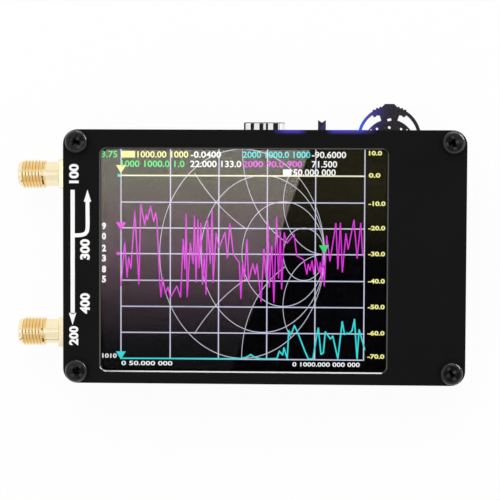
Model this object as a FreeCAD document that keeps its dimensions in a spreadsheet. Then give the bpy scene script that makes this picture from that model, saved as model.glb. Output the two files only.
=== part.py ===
import FreeCAD, Part
import math
import os
import Sketcher
from FreeCAD import Placement, Rotation, Vector

# A pocket antenna analyzer: three circuit-board sheets on brass spacers, a touch screen behind the front
# sheet, two threaded coaxial ports on the left edge, and a USB-C socket, a slide switch and a jog lever on
# the top edge. It lies on its back: +Z out of the screen, +X right, +Y towards the controls. All lengths
# are in mm.

SIZES = {
    # board sheets and the way they are stacked
    "panel_t": 1.2,             # front and back sheet
    "board_t": 1.2,             # circuit board between them
    "panel_corner": 3.1,        # corner radius of all three sheets
    "hole_r": 1.35,             # clearance hole for an M2.5 screw
    "hole_inset_x": 3.0,        # hole centre from the left and right edge
    "hole_inset_y": 2.7,        # hole centre from the top and bottom edge
    "margin_top": 2.7,          # sheet beyond the display, above
    "margin_bottom": 1.3,       # and below
    "flex_room": 5.4,           # sheet beyond the display on the right, for its flat cable
    "rear_clear": 0.44,         # air between the USB socket and the back sheet
    # screws and spacers
    "screw_r": 1.25,
    "thread_play": 0.02,        # between a screw and the thread it bites in
    "bite": 1.7,                # length of thread in the brass
    "head_r": 2.4,
    "head_h": 1.7,
    "head_top_r": 2.0,
    "spacer_af": 4.5,           # across the flats
    "blind_over": 0.8,          # thread depth beyond the end of the screw
    # display
    "lcd_w": 69.2,
    "lcd_h": 50.0,
    "lcd_gap": 0.2,             # between the display and the spacers
    "bezel_left": 2.55,         # display edge to the window's edge
    "bezel_right": 5.85,
    "bezel_top": 1.4,
    "bezel_bottom": 1.4,
    "window_corner": 1.2,
    "touch_t": 1.0,
    "cell_t": 1.4,
    "ledge_w": 4.0,             # bare strip of the rear glass, where the flat cable is bonded
    "guide_t": 0.8,             # light guide
    "tray_floor": 0.2,
    "tray_wall": 0.5,
    "tray_play": 0.05,          # between the tray's walls and what lies in it
    "tape_t": 0.3,
    "tape_w": 5.0,
    "flex_w": 24.0,
    "flex_t": 0.12,
    "flex_bend": 0.3,           # inner bend radius
    "flex_notch": 0.5,          # play of the cable in the tray's notch
    "flex_foot": 2.6,           # length soldered to the board
    # coaxial ports
    "port_1_gap": 0.9,          # flange to the spacer above it
    "port_2_gap": 2.0,          # flange to the spacer below it
    "flange_w": 6.35,
    "flange_t": 1.85,
    "neck_r": 2.65,
    "neck_len": 3.0,
    "thread_r": 3.125,
    "thread_len": 4.7,
    "nose_r": 2.65,
    "nose_len": 0.95,
    "mouth_r": 2.3,
    "mouth_depth": 1.9,
    "insulator_r": 2.05,
    "contact_r": 0.635,
    "pin_r": 0.38,
    "pin_len": 3.3,
    "leg_w": 1.1,
    "leg_t": 1.3,
    "leg_len": 3.8,
    # USB-C socket
    "usb_pitch": 11.4,          # socket's middle to the slide switch's middle
    "usb_w": 8.94,
    "usb_h": 3.26,
    "usb_len": 7.35,
    "usb_out": 1.9,             # beyond the sheets' edge
    "usb_wall": 0.31,
    "usb_seam": 0.3,
    "usb_tab": 1.1,             # length of each soldered tab
    "usb_tab_front": 1.6,       # mouth to the middle of the front tabs, less the overhang
    "usb_tab_pitch": 4.2,
    "usb_slot_play": 0.12,
    "usb_block": 1.6,           # depth of the moulded block at the back
    "tongue_w": 6.69,
    "tongue_t": 0.7,
    "tongue_short": 0.9,        # tongue end to the mouth
    "usb_pad_w": 0.25,
    "usb_pad_t": 0.05,
    "usb_pad_len": 3.6,
    "usb_pad_pitch": 0.5,
    # slide switch
    "slide_pitch": 15.55,       # slide switch's middle to the jog lever's middle
    "slide_w": 6.7,
    "slide_d": 3.6,
    "slide_h": 2.8,
    "slide_wall": 0.25,
    "slide_inset": 0.1,         # case front to the sheets' edge
    "slide_base_t": 0.6,
    "slide_play": 0.1,
    "slide_travel": 2.0,
    "lever_w": 1.7,
    "lever_t": 1.3,
    "lever_out": 2.5,
    "lever_notch": 0.57,
    "slider_w": 3.6,
    "slider_d": 2.2,
    "slide_pin_w": 0.4,
    "slide_pin_len": 0.9,
    "slide_pin_pitch": 2.0,
    "pin_t": 0.15,              # thickness of the soldered feet
    # jog lever and its switch
    "jog_right": 16.0,          # pivot to the sheets' right edge
    "pivot_inset": 2.9,         # pivot to the sheets' edge
    "hub_r": 5.6,
    "rim_rise": 1.5,            # centre of the rim above the pivot
    "rim_r": 6.85,
    "rim_t": 0.65,
    "tab_rise": 0.55,           # thumb tab above the rim
    "tab_w": 2.0,
    "grip_drop": 1.85,          # underside of the ridged grip below the rim's top
    "neck_top_w": 3.9,
    "neck_low_w": 3.3,
    "ridge_r": 0.25,
    "jog_t": 1.5,
    "jog_play": 0.06,
    "pivot_r": 1.0,
    "pivot_play": 0.05,
    "neck_slot_w": 0.9,
    "neck_slot_h": 0.4,
    "carrier_w": 8.0,
    "carrier_back": 3.2,        # pivot to the carrier's back edge
    "carrier_front": 2.4,
    "carrier_t": 0.5,
    "plunger_w": 1.2,
    "plunger_len": 0.7,
    "press": 0.5,
    "press_spare": 0.05,
    "jog_floor": 0.6,
    "jog_wall": 0.5,
    "jog_side_play": 0.2,
    "jog_base_front": 2.7,      # pivot to the base's front edge
    "jog_wall_front": 0.3,      # pivot to the front of the side walls
    "cover_t": 0.25,
    "spring_half": 3.4,
    "spring_t": 0.15,
    "spring_w": 0.4,
    # battery and its leads
    "cell_len": 40.0,
    "cell_w": 30.0,
    "battery_t": 3.0,
    "pouch_round": 1.2,
    "guard_len": 2.0,
    "guard_w": 26.0,
    "guard_h": 2.4,
    "battery_right": 9.25,      # guard end to the sheets' right edge
    "battery_low": 3.0,         # battery to the sheets' lower edge
    "battery_tape_w": 20.0,
    "lead_r": 0.35,
    "lead_pitch": 1.25,
    "lead_rise": 6.0,           # red lead above the battery's middle
    "lead_bend": 2.8,           # bend radius, in the middle of the wire
    "header_right": 3.77,       # header's middle to the sheets' right edge
    "header_top": 17.5,         # header's mouth to the sheets' upper edge
    "header_w": 4.4,
    "header_d": 3.6,
    "header_h": 2.8,
    "header_wall": 0.4,
    "plug_play": 0.05,
    "plug_out": 0.9,
    # shield and electronics
    "shield_left": 7.75,        # shield to the sheets' left edge
    "shield_rise": 0.5,         # its middle above the sheets' middle
    "shield_w": 18.0,
    "shield_d": 28.0,
    "shield_h": 1.8,
    "shield_t": 0.2,
    "shield_rim": 1.0,
    "processor_left": 5.5,      # processor to the battery's left end
    "processor_w": 7.0,
    "processor_t": 1.4,
    "chip_w": 4.0,
    "chip_t": 0.9,
    "chip_pitch": 8.0,
    "crystal_gap": 2.5,         # processor's case to the crystal
    "crystal_w": 3.2,
    "crystal_d": 2.5,
    "crystal_t": 0.8,
    "chip_foot_w": 0.35,
    "chip_foot_len": 0.4,
    "chip_foot_h": 0.3,
    "chip_foot_pitch": 0.8,
    "passive_w": 1.0,
    "passive_d": 0.5,
    "passive_t": 0.45,
    "passive_pitch_x": 2.0,
    "passive_pitch_y": 1.0,
    "led_w": 1.6,
    "led_d": 0.8,
    "led_t": 0.6,
    "led_inset": 0.5,
    "led_1_pitch": 5.4,         # left of the slide switch's middle
    "led_2_pitch": 6.9,         # right of it
}


class Size:
    """A length with the cell formula that drives it and the value which that formula has now."""

    def __init__(self, formula, value):
        self.formula = formula
        self.value = value

    @staticmethod
    def of(amount):
        return amount if isinstance(amount, Size) else Size(f"{amount:.9g}", float(amount))

    def join(self, sign, other, value):
        return Size(f"({self.formula} {sign} {Size.of(other).formula})", value)

    def __add__(self, other):
        return self.join("+", other, self.value + Size.of(other).value)

    def __sub__(self, other):
        return self.join("-", other, self.value - Size.of(other).value)

    def __mul__(self, other):
        return self.join("*", other, self.value * Size.of(other).value)

    def __truediv__(self, other):
        return self.join("/", other, self.value / Size.of(other).value)

    def __radd__(self, other):
        return Size.of(other) + self

    def __rsub__(self, other):
        return Size.of(other) - self

    def __rmul__(self, other):
        return Size.of(other) * self

    def __neg__(self):
        return Size.of(0) - self


class Cells:
    """A spreadsheet whose cells are read by name."""

    def __init__(self, doc, title):
        self.sheet = doc.addObject("Spreadsheet::Sheet", title)
        self.title = title
        self.sizes = {}

    def put(self, name, content, value):
        row = len(self.sizes) + 1
        self.sheet.set(f"A{row}", name)
        self.sheet.set(f"B{row}", content)
        self.sheet.setAlias(f"B{row}", name)
        self.sizes[name] = Size(f"{self.title}.{name}", value)

    def __getattr__(self, name):
        return self.sizes[name]


doc = FreeCAD.newDocument("AntennaAnalyzer")
s = Cells(doc, "Sizes")
for size_name, size_value in SIZES.items():
    s.put(size_name, str(size_value), size_value)
p = Cells(doc, "Places")


def place(name, size):
    """Keeps a worked-out length or level in the second sheet under its own name."""
    p.put(name, "=" + size.formula, size.value)


# outline of the sheets, built out from the display between its spacers
place("side_zone", s.hole_inset_x + s.spacer_af / 2 + s.lcd_gap)
place("panel_w", s.lcd_w + 2 * p.side_zone + s.flex_room)
place("panel_h", s.lcd_h + s.margin_top + s.margin_bottom)
place("hole_x", p.panel_w / 2 - s.hole_inset_x)
place("hole_y", p.panel_h / 2 - s.hole_inset_y)
place("lcd_left", -p.panel_w / 2 + p.side_zone)
place("lcd_low", -p.panel_h / 2 + s.margin_bottom)
place("window_w", s.lcd_w - s.bezel_left - s.bezel_right)
place("window_h", s.lcd_h - s.bezel_top - s.bezel_bottom)
place("window_x", p.lcd_left + s.bezel_left + p.window_w / 2)
place("window_y", p.lcd_low + s.bezel_bottom + p.window_h / 2)
# levels, from the flats of the rear screw heads at 0
place("rear_gap", s.usb_h + s.rear_clear)
place("tray_h", s.tray_floor + s.guide_t + s.cell_t)
place("front_gap", s.tape_t + p.tray_h + s.touch_t)
place("back_low", s.head_h)
place("back_in", p.back_low + s.panel_t)
place("board_rear", p.back_in + p.rear_gap)
place("board_front", p.board_rear + s.board_t)
place("front_in", p.board_front + p.front_gap)
place("front_face", p.front_in + s.panel_t)
# reach of the ports and of the jog lever beyond the sheets, which sets where the middle of the sheets lies
place("port_reach", s.flange_t + s.neck_len + s.thread_len + s.nose_len)
place("tab_top", s.rim_rise + s.rim_r + s.tab_rise)
place("jog_reach", p.tab_top - s.pivot_inset)
place("mid_x", p.port_reach / 2)
place("mid_y", -p.jog_reach / 2)
# levels in the jog switch, from the board down to the cover
place("rail_low", p.board_rear - s.jog_floor - s.jog_play - s.carrier_t)
place("jog_top", p.rail_low - s.jog_play)
place("jog_low", p.jog_top - s.jog_t)
place("cover_top", p.jog_low - s.jog_play)
place("pivot_y", p.panel_h / 2 - s.pivot_inset)
place("well_half", s.hub_r + s.jog_side_play)
place("base_half", p.well_half + s.jog_wall)
place("well_back", s.hub_r + s.press + s.jog_side_play)

# the row of controls, measured from the right edge, and what lies on the rear of the board
place("jog_x", p.panel_w / 2 - s.jog_right)
place("slide_x", p.jog_x - s.slide_pitch)
place("usb_x", p.slide_x - s.usb_pitch)
place("spacer_half", s.spacer_af / math.sqrt(3))
place("port_1_y", p.hole_y - p.spacer_half - s.port_1_gap - s.flange_w / 2)
place("port_2_y", -p.hole_y + p.spacer_half + s.port_2_gap + s.flange_w / 2)
place("battery_end", p.panel_w / 2 - s.battery_right)
place("battery_x", p.battery_end - s.guard_len - s.cell_len / 2)
place("battery_y", -p.panel_h / 2 + s.battery_low + s.cell_w / 2)
place("header_x", p.panel_w / 2 - s.header_right)
place("header_y", p.panel_h / 2 - s.header_top)
place("shield_x", -p.panel_w / 2 + s.shield_left + s.shield_w / 2)
place("usb_back", p.panel_h / 2 + s.usb_out - s.usb_len - s.slide_pin_len)
place("chips_y", (p.battery_y + s.cell_w / 2 + p.usb_back) / 2)
place("processor_x", p.battery_x - s.cell_len / 2 + s.processor_left + s.processor_w / 2)
place("crystal_x", p.processor_x + s.processor_w / 2 + s.crystal_gap + s.crystal_w / 2)

PIECES = []


def bind(thing, **sizes):
    """Ties properties of an object to cell formulas."""
    for name, size in sizes.items():
        thing.setExpression(name, Size.of(size).formula)


def keep(thing, label, x=0, y=0, z=0, turn=None):
    """Names a finished sub-part, places it from the middle of the sheets, and lists it for export."""
    thing.Label = label
    if turn:
        thing.Placement = Placement(Vector(), turn)
    for axis, size in (("x", p.mid_x + x), ("y", p.mid_y + y), ("z", Size.of(z))):
        thing.setExpression(f"Placement.Base.{axis}", size.formula)
    PIECES.append(thing)
    return thing


# ---- sketches: closed outlines of straight lines and arcs, with every corner dimensioned ----

class Outline:
    """A closed outline; each corner is (x, y) or (x, y, r), with r the radius of an arc to the next corner,
    positive for a left-hand bend and negative for a right-hand one."""

    closed = True

    def __init__(self, corners):
        self.corners = [tuple(Size.of(part) for part in corner) for corner in corners]

    def draw(self, sketch):
        following = self.corners[1:] + self.corners[:self.closed]
        ends = [self.side(sketch, here, there) for here, there in zip(self.corners, following)]
        for i, (line, start, _) in enumerate(ends):
            if i or self.closed:
                before = ends[i - 1]
                sketch.addConstraint(Sketcher.Constraint("Coincident", before[0], before[2], line, start))
            self.fix(sketch, self.corners[i], line, start)
            if len(self.corners[i]) == 3:
                radius = self.corners[i][2]
                dimension(sketch, "Radius", radius if radius.value > 0 else -radius, line)
        if not self.closed:
            self.fix(sketch, self.corners[-1], ends[-1][0], ends[-1][2])

    def fix(self, sketch, corner, line, end):
        dimension(sketch, "DistanceX", corner[0], -1, 1, line, end)
        dimension(sketch, "DistanceY", corner[1], -1, 1, line, end)

    def side(self, sketch, here, there):
        a = Vector(here[0].value, here[1].value, 0)
        b = Vector(there[0].value, there[1].value, 0)
        if len(here) == 2:
            return sketch.addGeometry(Part.LineSegment(a, b), False), 1, 2
        radius = here[2].value
        half = (b - a) * 0.5
        reach = math.sqrt(max(radius * radius - half.Length ** 2, 0))
        left = Vector(-half.y, half.x, 0).normalize()
        middle = a + half + left * math.copysign(reach, radius)
        first, last = (a, b) if radius > 0 else (b, a)
        angles = [math.atan2(end.y - middle.y, end.x - middle.x) for end in (first, last)]
        arc = Part.ArcOfCircle(Part.Circle(middle, Vector(0, 0, 1), abs(radius)), *angles)
        arc_id = sketch.addGeometry(arc, False)
        return (arc_id, 1, 2) if radius > 0 else (arc_id, 2, 1)


class Path(Outline):
    """An open line of the same kinds of sides."""

    closed = False


class Round:
    """A circle."""

    def __init__(self, x, y, radius):
        self.x, self.y, self.radius = Size.of(x), Size.of(y), Size.of(radius)

    def draw(self, sketch):
        middle = Vector(self.x.value, self.y.value, 0)
        circle = sketch.addGeometry(Part.Circle(middle, Vector(0, 0, 1), self.radius.value), False)
        dimension(sketch, "DistanceX", self.x, -1, 1, circle, 3)
        dimension(sketch, "DistanceY", self.y, -1, 1, circle, 3)
        dimension(sketch, "Radius", self.radius, circle)


def dimension(sketch, kind, size, *what):
    """Adds a dimension to a sketch and ties it to its formula."""
    index = sketch.addConstraint(Sketcher.Constraint(kind, *what, size.value))
    name = f"{kind.lower()}_{index}"
    sketch.renameConstraint(index, name)
    sketch.setExpression(f"Constraints.{name}", size.formula)


def oblong(x, y, w, d):
    """A rectangle about (x, y)."""
    x, y, w, d = (Size.of(part) for part in (x, y, w, d))
    left, right, low, high = x - w / 2, x + w / 2, y - d / 2, y + d / 2
    return Outline([(left, low), (right, low), (right, high), (left, high)])


def rounded(x, y, w, d, r):
    """A rectangle about (x, y) with rounded corners."""
    x, y, w, d, r = (Size.of(part) for part in (x, y, w, d, r))
    left, right, low, high = x - w / 2, x + w / 2, y - d / 2, y + d / 2
    return Outline([(left + r, low), (right - r, low, r), (right, low + r), (right, high - r, r),
                    (right - r, high), (left + r, high, r), (left, high - r), (left, low + r, r)])


def octagon(r):
    """Eight sides about the origin, with flats at distance r."""
    r = Size.of(r)
    half = r * math.tan(math.pi / 8)
    return Outline([(half, -r), (r, -half), (r, half), (half, r), (-half, r), (-r, half), (-r, -half),
                    (-half, -r)])


def new_body(name):
    return doc.addObject("PartDesign::Body", name)


def draw(body, plane, loops, level=0):
    """A sketch on one of the body's own planes, moved out along the plane's normal by level."""
    sketch = body.newObject("Sketcher::SketchObject", body.Name + "_sketch")
    origin = next(item for item in body.Origin.OriginFeatures if item.Role == plane)
    sketch.AttachmentSupport = [(origin, "")]
    sketch.MapMode = "FlatFace"
    sketch.setExpression("AttachmentOffset.Base.z", Size.of(level).formula)
    for loop in loops:
        loop.draw(sketch)
    doc.recompute([sketch])
    return sketch


def pad(body, loops, length, level=0, plane="XY_Plane"):
    feature = body.newObject("PartDesign::Pad", body.Name + "_pad")
    feature.Profile = draw(body, plane, loops, level)
    bind(feature, Length=length)
    body.Tip = feature
    return feature


def pocket(body, loops, depth=None, level=0, plane="XY_Plane"):
    """Cuts down from level by depth, or right through both ways when no depth is given."""
    feature = body.newObject("PartDesign::Pocket", body.Name + "_pocket")
    feature.Profile = draw(body, plane, loops, level)
    if depth is None:
        feature.Type = "ThroughAll"
        feature.Midplane = True
    else:
        bind(feature, Length=depth)
    body.Tip = feature
    return feature


def revolve(body, loops):
    """Turns a half profile, drawn as (radius, height), about the Z axis."""
    feature = body.newObject("PartDesign::Revolution", body.Name + "_turned")
    profile = draw(body, "XZ_Plane", loops)
    feature.Profile = profile
    feature.ReferenceAxis = (profile, ["V_Axis"])
    feature.Angle = 360
    body.Tip = feature
    return feature


# ---- solids made from primitives ----

def block(name, w, d, t, x=0, y=0, z=0):
    """A box about (x, y), standing on level z."""
    thing = doc.addObject("Part::Box", name)
    bind(thing, Length=w, Width=d, Height=t)
    thing.setExpression("Placement.Base.x", (Size.of(x) - Size.of(w) / 2).formula)
    thing.setExpression("Placement.Base.y", (Size.of(y) - Size.of(d) / 2).formula)
    thing.setExpression("Placement.Base.z", Size.of(z).formula)
    return thing


def rod(name, radius, length, x=0, y=0, z=0, turn=None):
    """A cylinder along +Z, or along the way that turn takes it."""
    thing = doc.addObject("Part::Cylinder", name)
    bind(thing, Radius=radius, Height=length)
    if turn:
        thing.Placement = Placement(Vector(), turn)
    for axis, size in (("x", x), ("y", y), ("z", z)):
        thing.setExpression(f"Placement.Base.{axis}", Size.of(size).formula)
    return thing


def fuse(name, things):
    thing = doc.addObject("Part::MultiFuse", name)
    thing.Shapes = things
    return thing


def group(name, things):
    """Separate solids that share one node."""
    thing = doc.addObject("Part::Compound", name)
    thing.Links = things
    return thing


def mirrored(name, source, normal):
    thing = doc.addObject("Part::Mirroring", name)
    thing.Source = source
    thing.Normal = normal
    return thing


def at_four_corners(name, source):
    """The piece at one corner of the sheets and its copies at the other three."""
    right = group(name + "_right", [source, mirrored(name + "_low", source, Vector(0, 1, 0))])
    return group(name, [right, mirrored(name + "_left", right, Vector(1, 0, 0))])


def row(count, pitch):
    """Places of evenly spaced things about a middle."""
    return [(i - (count - 1) / 2) * pitch for i in range(count)]


# ---- the three sheets ----

def sheet_loops():
    holes = [Round(i * p.hole_x, j * p.hole_y, s.hole_r) for i in (-1, 1) for j in (-1, 1)]
    return [rounded(0, 0, p.panel_w, p.panel_h, s.panel_corner)] + holes


def make_sheets():
    back = new_body("back_panel")
    pad(back, sheet_loops(), s.panel_t)
    keep(back, "back_panel", z=p.back_low)

    front = new_body("front_panel")
    window = rounded(p.window_x, p.window_y, p.window_w, p.window_h, s.window_corner)
    pad(front, sheet_loops() + [window], s.panel_t)
    keep(front, "front_panel", z=p.front_in)

    board = new_body("main_board")
    pad(board, sheet_loops() + usb_slots(), s.board_t)
    keep(board, "main_board", z=p.board_rear)


# ---- screws and spacers ----

def corner_piece(name):
    body = new_body(name)
    body.setExpression("Placement.Base.x", p.hole_x.formula)
    body.setExpression("Placement.Base.y", p.hole_y.formula)
    return body


def make_screw(name):
    """A pan head on a shank; the head's underside is at height 0 and the head above it."""
    body = corner_piece(name)
    shank = s.panel_t + s.bite
    revolve(body, [Outline([
        (0, -shank), (s.screw_r, -shank), (s.screw_r, 0), (s.head_r, 0), (s.head_top_r, s.head_h),
        (0, s.head_h)])])
    return body


def hexagon(across_flats):
    """Flats to the left and right."""
    half, side = across_flats / 2, across_flats / (2 * math.sqrt(3))
    return Outline([(half, -side), (half, side), (0, 2 * side),
                    (-half, side), (-half, -side), (0, -2 * side)])


def make_fixings():
    front_screws = at_four_corners("front_screw_set", make_screw("front_screw"))
    keep(front_screws, "front_screws", z=p.front_face)
    rear_screws = at_four_corners("rear_screw_set", make_screw("rear_screw"))
    keep(rear_screws, "rear_screws", z=p.back_low, turn=Rotation(Vector(1, 0, 0), 180))

    bore_r = s.screw_r + s.thread_play
    front = corner_piece("front_spacer")
    pad(front, [hexagon(s.spacer_af), Round(0, 0, bore_r)], p.front_gap)
    keep(at_four_corners("front_spacer_set", front), "front_standoffs", z=p.board_front)

    rear = corner_piece("rear_spacer")
    depth = s.bite + s.blind_over
    stud = s.board_t + s.bite
    pad(rear, [hexagon(s.spacer_af)], p.rear_gap)
    pad(rear, [Round(0, 0, s.screw_r)], stud, level=p.rear_gap)
    pocket(rear, [Round(0, 0, bore_r)], depth, level=depth)
    keep(at_four_corners("rear_spacer_set", rear), "rear_standoffs", z=p.back_in)


# ---- display ----

def make_display():
    lcd_x = p.lcd_left + s.lcd_w / 2
    lcd_y = p.lcd_low + s.lcd_h / 2
    level = p.board_front + s.tape_t
    inner_w = s.lcd_w - 2 * (s.tray_wall + s.tray_play)
    inner_h = s.lcd_h - 2 * (s.tray_wall + s.tray_play)
    ledge = s.cell_t / 2

    strip_y = s.lcd_h / 2 - s.tape_w / 2
    strips = [block(f"tape_{i}", s.lcd_w - 2 * s.tape_w, s.tape_w, s.tape_t, y=side * strip_y)
              for i, side in enumerate((-1, 1))]
    keep(group("tape_pair", strips), "lcd_tape", lcd_x, lcd_y, p.board_front)

    tray = new_body("lcd_tray")
    pad(tray, [oblong(0, 0, s.lcd_w, s.lcd_h)], p.tray_h)
    well = [oblong(0, 0, s.lcd_w - 2 * s.tray_wall, s.lcd_h - 2 * s.tray_wall)]
    pocket(tray, well, p.tray_h - s.tray_floor, level=p.tray_h)
    notch = oblong(s.lcd_w / 2, 0, 4 * s.tray_wall, s.flex_w + 2 * s.flex_notch)
    pocket(tray, [notch], ledge, level=p.tray_h)
    keep(tray, "lcd_tray", lcd_x, lcd_y, level)

    guide = block("light_guide", inner_w, inner_h, s.guide_t)
    keep(group("light_guide_node", [guide]), "backlight", lcd_x, lcd_y, level + s.tray_floor)

    cell = new_body("lcd_cell")
    pad(cell, [oblong(0, 0, inner_w, inner_h)], s.cell_t)
    pocket(cell, [oblong(inner_w / 2 - s.ledge_w / 2, 0, s.ledge_w, inner_h)], ledge, level=s.cell_t)
    keep(cell, "lcd_cell", lcd_x, lcd_y, level + s.tray_floor + s.guide_t)

    touch = new_body("touch_panel")
    pad(touch, [oblong(0, 0, s.lcd_w, s.lcd_h)], s.touch_t)
    keep(touch, "touch_panel", lcd_x, lcd_y, p.front_in - s.touch_t)

    make_flex(lcd_x + inner_w / 2 - s.ledge_w / 2, lcd_y, p.front_in - s.touch_t - ledge)


def make_flex(x, y, level):
    """The flat cable leaves the ledge of the glass, bends down past the tray and ends on the board."""
    t, small, large = s.flex_t, s.flex_bend, s.flex_bend + s.flex_t
    run = s.ledge_w / 2 + s.tray_play + s.tray_wall + s.flex_bend
    drop = level - p.board_front
    foot = run + small + large
    end = foot + s.flex_foot
    body = new_body("lcd_flex")
    profile = Outline([
        (0, 0), (run, 0, -small), (run + small, -small), (run + small, large - drop, large), (foot, -drop),
        (end, -drop), (end, t - drop), (foot, t - drop, -small), (run + large, large - drop),
        (run + large, -small, large), (run, t), (0, t)])
    flex = pad(body, [profile], s.flex_w, plane="XZ_Plane")
    flex.Midplane = True
    keep(body, "lcd_flex", x, y, level)


# ---- coaxial ports: local +Z is the way the port faces, local +X is up from the board ----

def make_port(number, y):
    facing_left = Rotation(Vector(0, 1, 0), -90)
    level = p.board_rear - s.pin_r
    reference = p.port_reach - s.mouth_depth
    neck_end = s.flange_t + s.neck_len
    thread_end = neck_end + s.thread_len

    shell = new_body(f"port_{number}_shell")
    pad(shell, [oblong(0, 0, s.flange_w, s.flange_w)], s.flange_t)
    revolve(shell, [Outline([
        (0, s.flange_t / 2), (s.neck_r, s.flange_t / 2), (s.neck_r, neck_end), (s.thread_r, neck_end),
        (s.thread_r, thread_end), (s.nose_r, thread_end), (s.nose_r, p.port_reach), (0, p.port_reach)])])
    across = s.flange_w / 2 - s.leg_w / 2
    upper = s.pin_r + s.board_t + s.leg_t / 2
    lower = s.pin_r - s.leg_t / 2
    legs = [oblong(high, side * across, s.leg_t, s.leg_w) for high in (upper, lower) for side in (-1, 1)]
    pad(shell, legs, s.leg_len + s.flange_t / 2, level=-s.leg_len)
    pocket(shell, [Round(0, 0, s.insulator_r)])
    pocket(shell, [Round(0, 0, s.mouth_r)], s.mouth_depth, level=p.port_reach)
    keep(shell, f"port_{number}_shell", -p.panel_w / 2, y, level, facing_left)

    insulator = new_body(f"port_{number}_insulator")
    pad(insulator, [Round(0, 0, s.insulator_r), Round(0, 0, s.contact_r)], reference)
    keep(insulator, f"port_{number}_insulator", -p.panel_w / 2, y, level, facing_left)

    contact = new_body(f"port_{number}_contact")
    revolve(contact, [Outline([
        (0, -s.pin_len), (s.pin_r, -s.pin_len), (s.pin_r, 0), (s.contact_r, 0), (s.contact_r, reference),
        (0, reference)])])
    keep(contact, f"port_{number}_contact", -p.panel_w / 2, y, level, facing_left)


# ---- USB-C socket on the rear of the board ----

def usb_tab_places():
    """Tab middles from the mouth of the socket back, as distances along it."""
    first = s.usb_out + s.usb_tab_front
    return [first, first + s.usb_tab_pitch]


def usb_slots():
    across = s.usb_w / 2 - s.usb_wall / 2
    mouth = p.panel_h / 2 + s.usb_out
    play = 2 * s.usb_slot_play
    return [oblong(p.usb_x + side * across, mouth - back, s.usb_wall + play, s.usb_tab + play)
            for side in (-1, 1) for back in usb_tab_places()]


def stadium(half_w, half_h):
    """Rounded both ends, in quarter arcs."""
    flat = half_w - half_h
    return Outline([(-flat, -half_h), (flat, -half_h, half_h), (half_w, 0, half_h), (flat, half_h),
                    (-flat, half_h, half_h), (-half_w, 0, half_h)])


def make_usb():
    """Drawn in the XZ plane, so a pad runs from the mouth back towards -Y."""
    a, b, wall, gap = s.usb_w / 2, s.usb_h / 2, s.usb_wall, s.usb_seam / 2
    flat, inner_a, inner_b = a - b, a - wall, b - wall
    mouth_y = p.panel_h / 2 + s.usb_out
    level = p.board_rear - b

    shell = new_body("usb_shell")
    pad(shell, [Outline([
        (-gap, b), (-flat, b, b), (-a, 0, b), (-flat, -b), (flat, -b, b), (a, 0, b), (flat, b), (gap, b),
        (gap, inner_b), (flat, inner_b, -inner_b), (inner_a, 0, -inner_b), (flat, -inner_b),
        (-flat, -inner_b, -inner_b), (-inner_a, 0, -inner_b), (-flat, inner_b), (-gap, inner_b)])],
        s.usb_len, plane="XZ_Plane")
    tabs = [oblong(side * (a - wall / 2), -back, wall, s.usb_tab) for side in (-1, 1)
            for back in usb_tab_places()]
    pad(shell, tabs, b + s.board_t - s.usb_slot_play)
    keep(shell, "usb_shell", p.usb_x, mouth_y, level)

    insulator = new_body("usb_insulator")
    pad(insulator, [stadium(inner_a, inner_b)], s.usb_block, level=s.usb_len - s.usb_block, plane="XZ_Plane")
    tongue = oblong(0, 0, s.tongue_w, s.tongue_t)
    pad(insulator, [tongue], s.usb_len - s.usb_block / 2 - s.tongue_short, level=s.tongue_short,
        plane="XZ_Plane")
    keep(insulator, "usb_insulator", p.usb_x, mouth_y, level)

    pads = []
    pad_y = -(s.tongue_short + s.usb_pad_t + s.usb_pad_len / 2)
    foot_y = -s.usb_len - s.slide_pin_len / 2
    for i, x in enumerate(row(12, s.usb_pad_pitch)):
        for side, z in (("up", s.tongue_t / 2), ("down", -s.tongue_t / 2 - s.usb_pad_t)):
            pads.append(block(f"usb_pad_{side}_{i}", s.usb_pad_w, s.usb_pad_len, s.usb_pad_t, x, pad_y, z))
        pads.append(block(f"usb_foot_{i}", s.usb_pad_w, s.slide_pin_len, s.pin_t, x, foot_y, b - s.pin_t))
    keep(group("usb_pads", pads), "usb_contacts", p.usb_x, mouth_y, level)


# ---- slide switch, mouth of the case towards +Y ----

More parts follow.
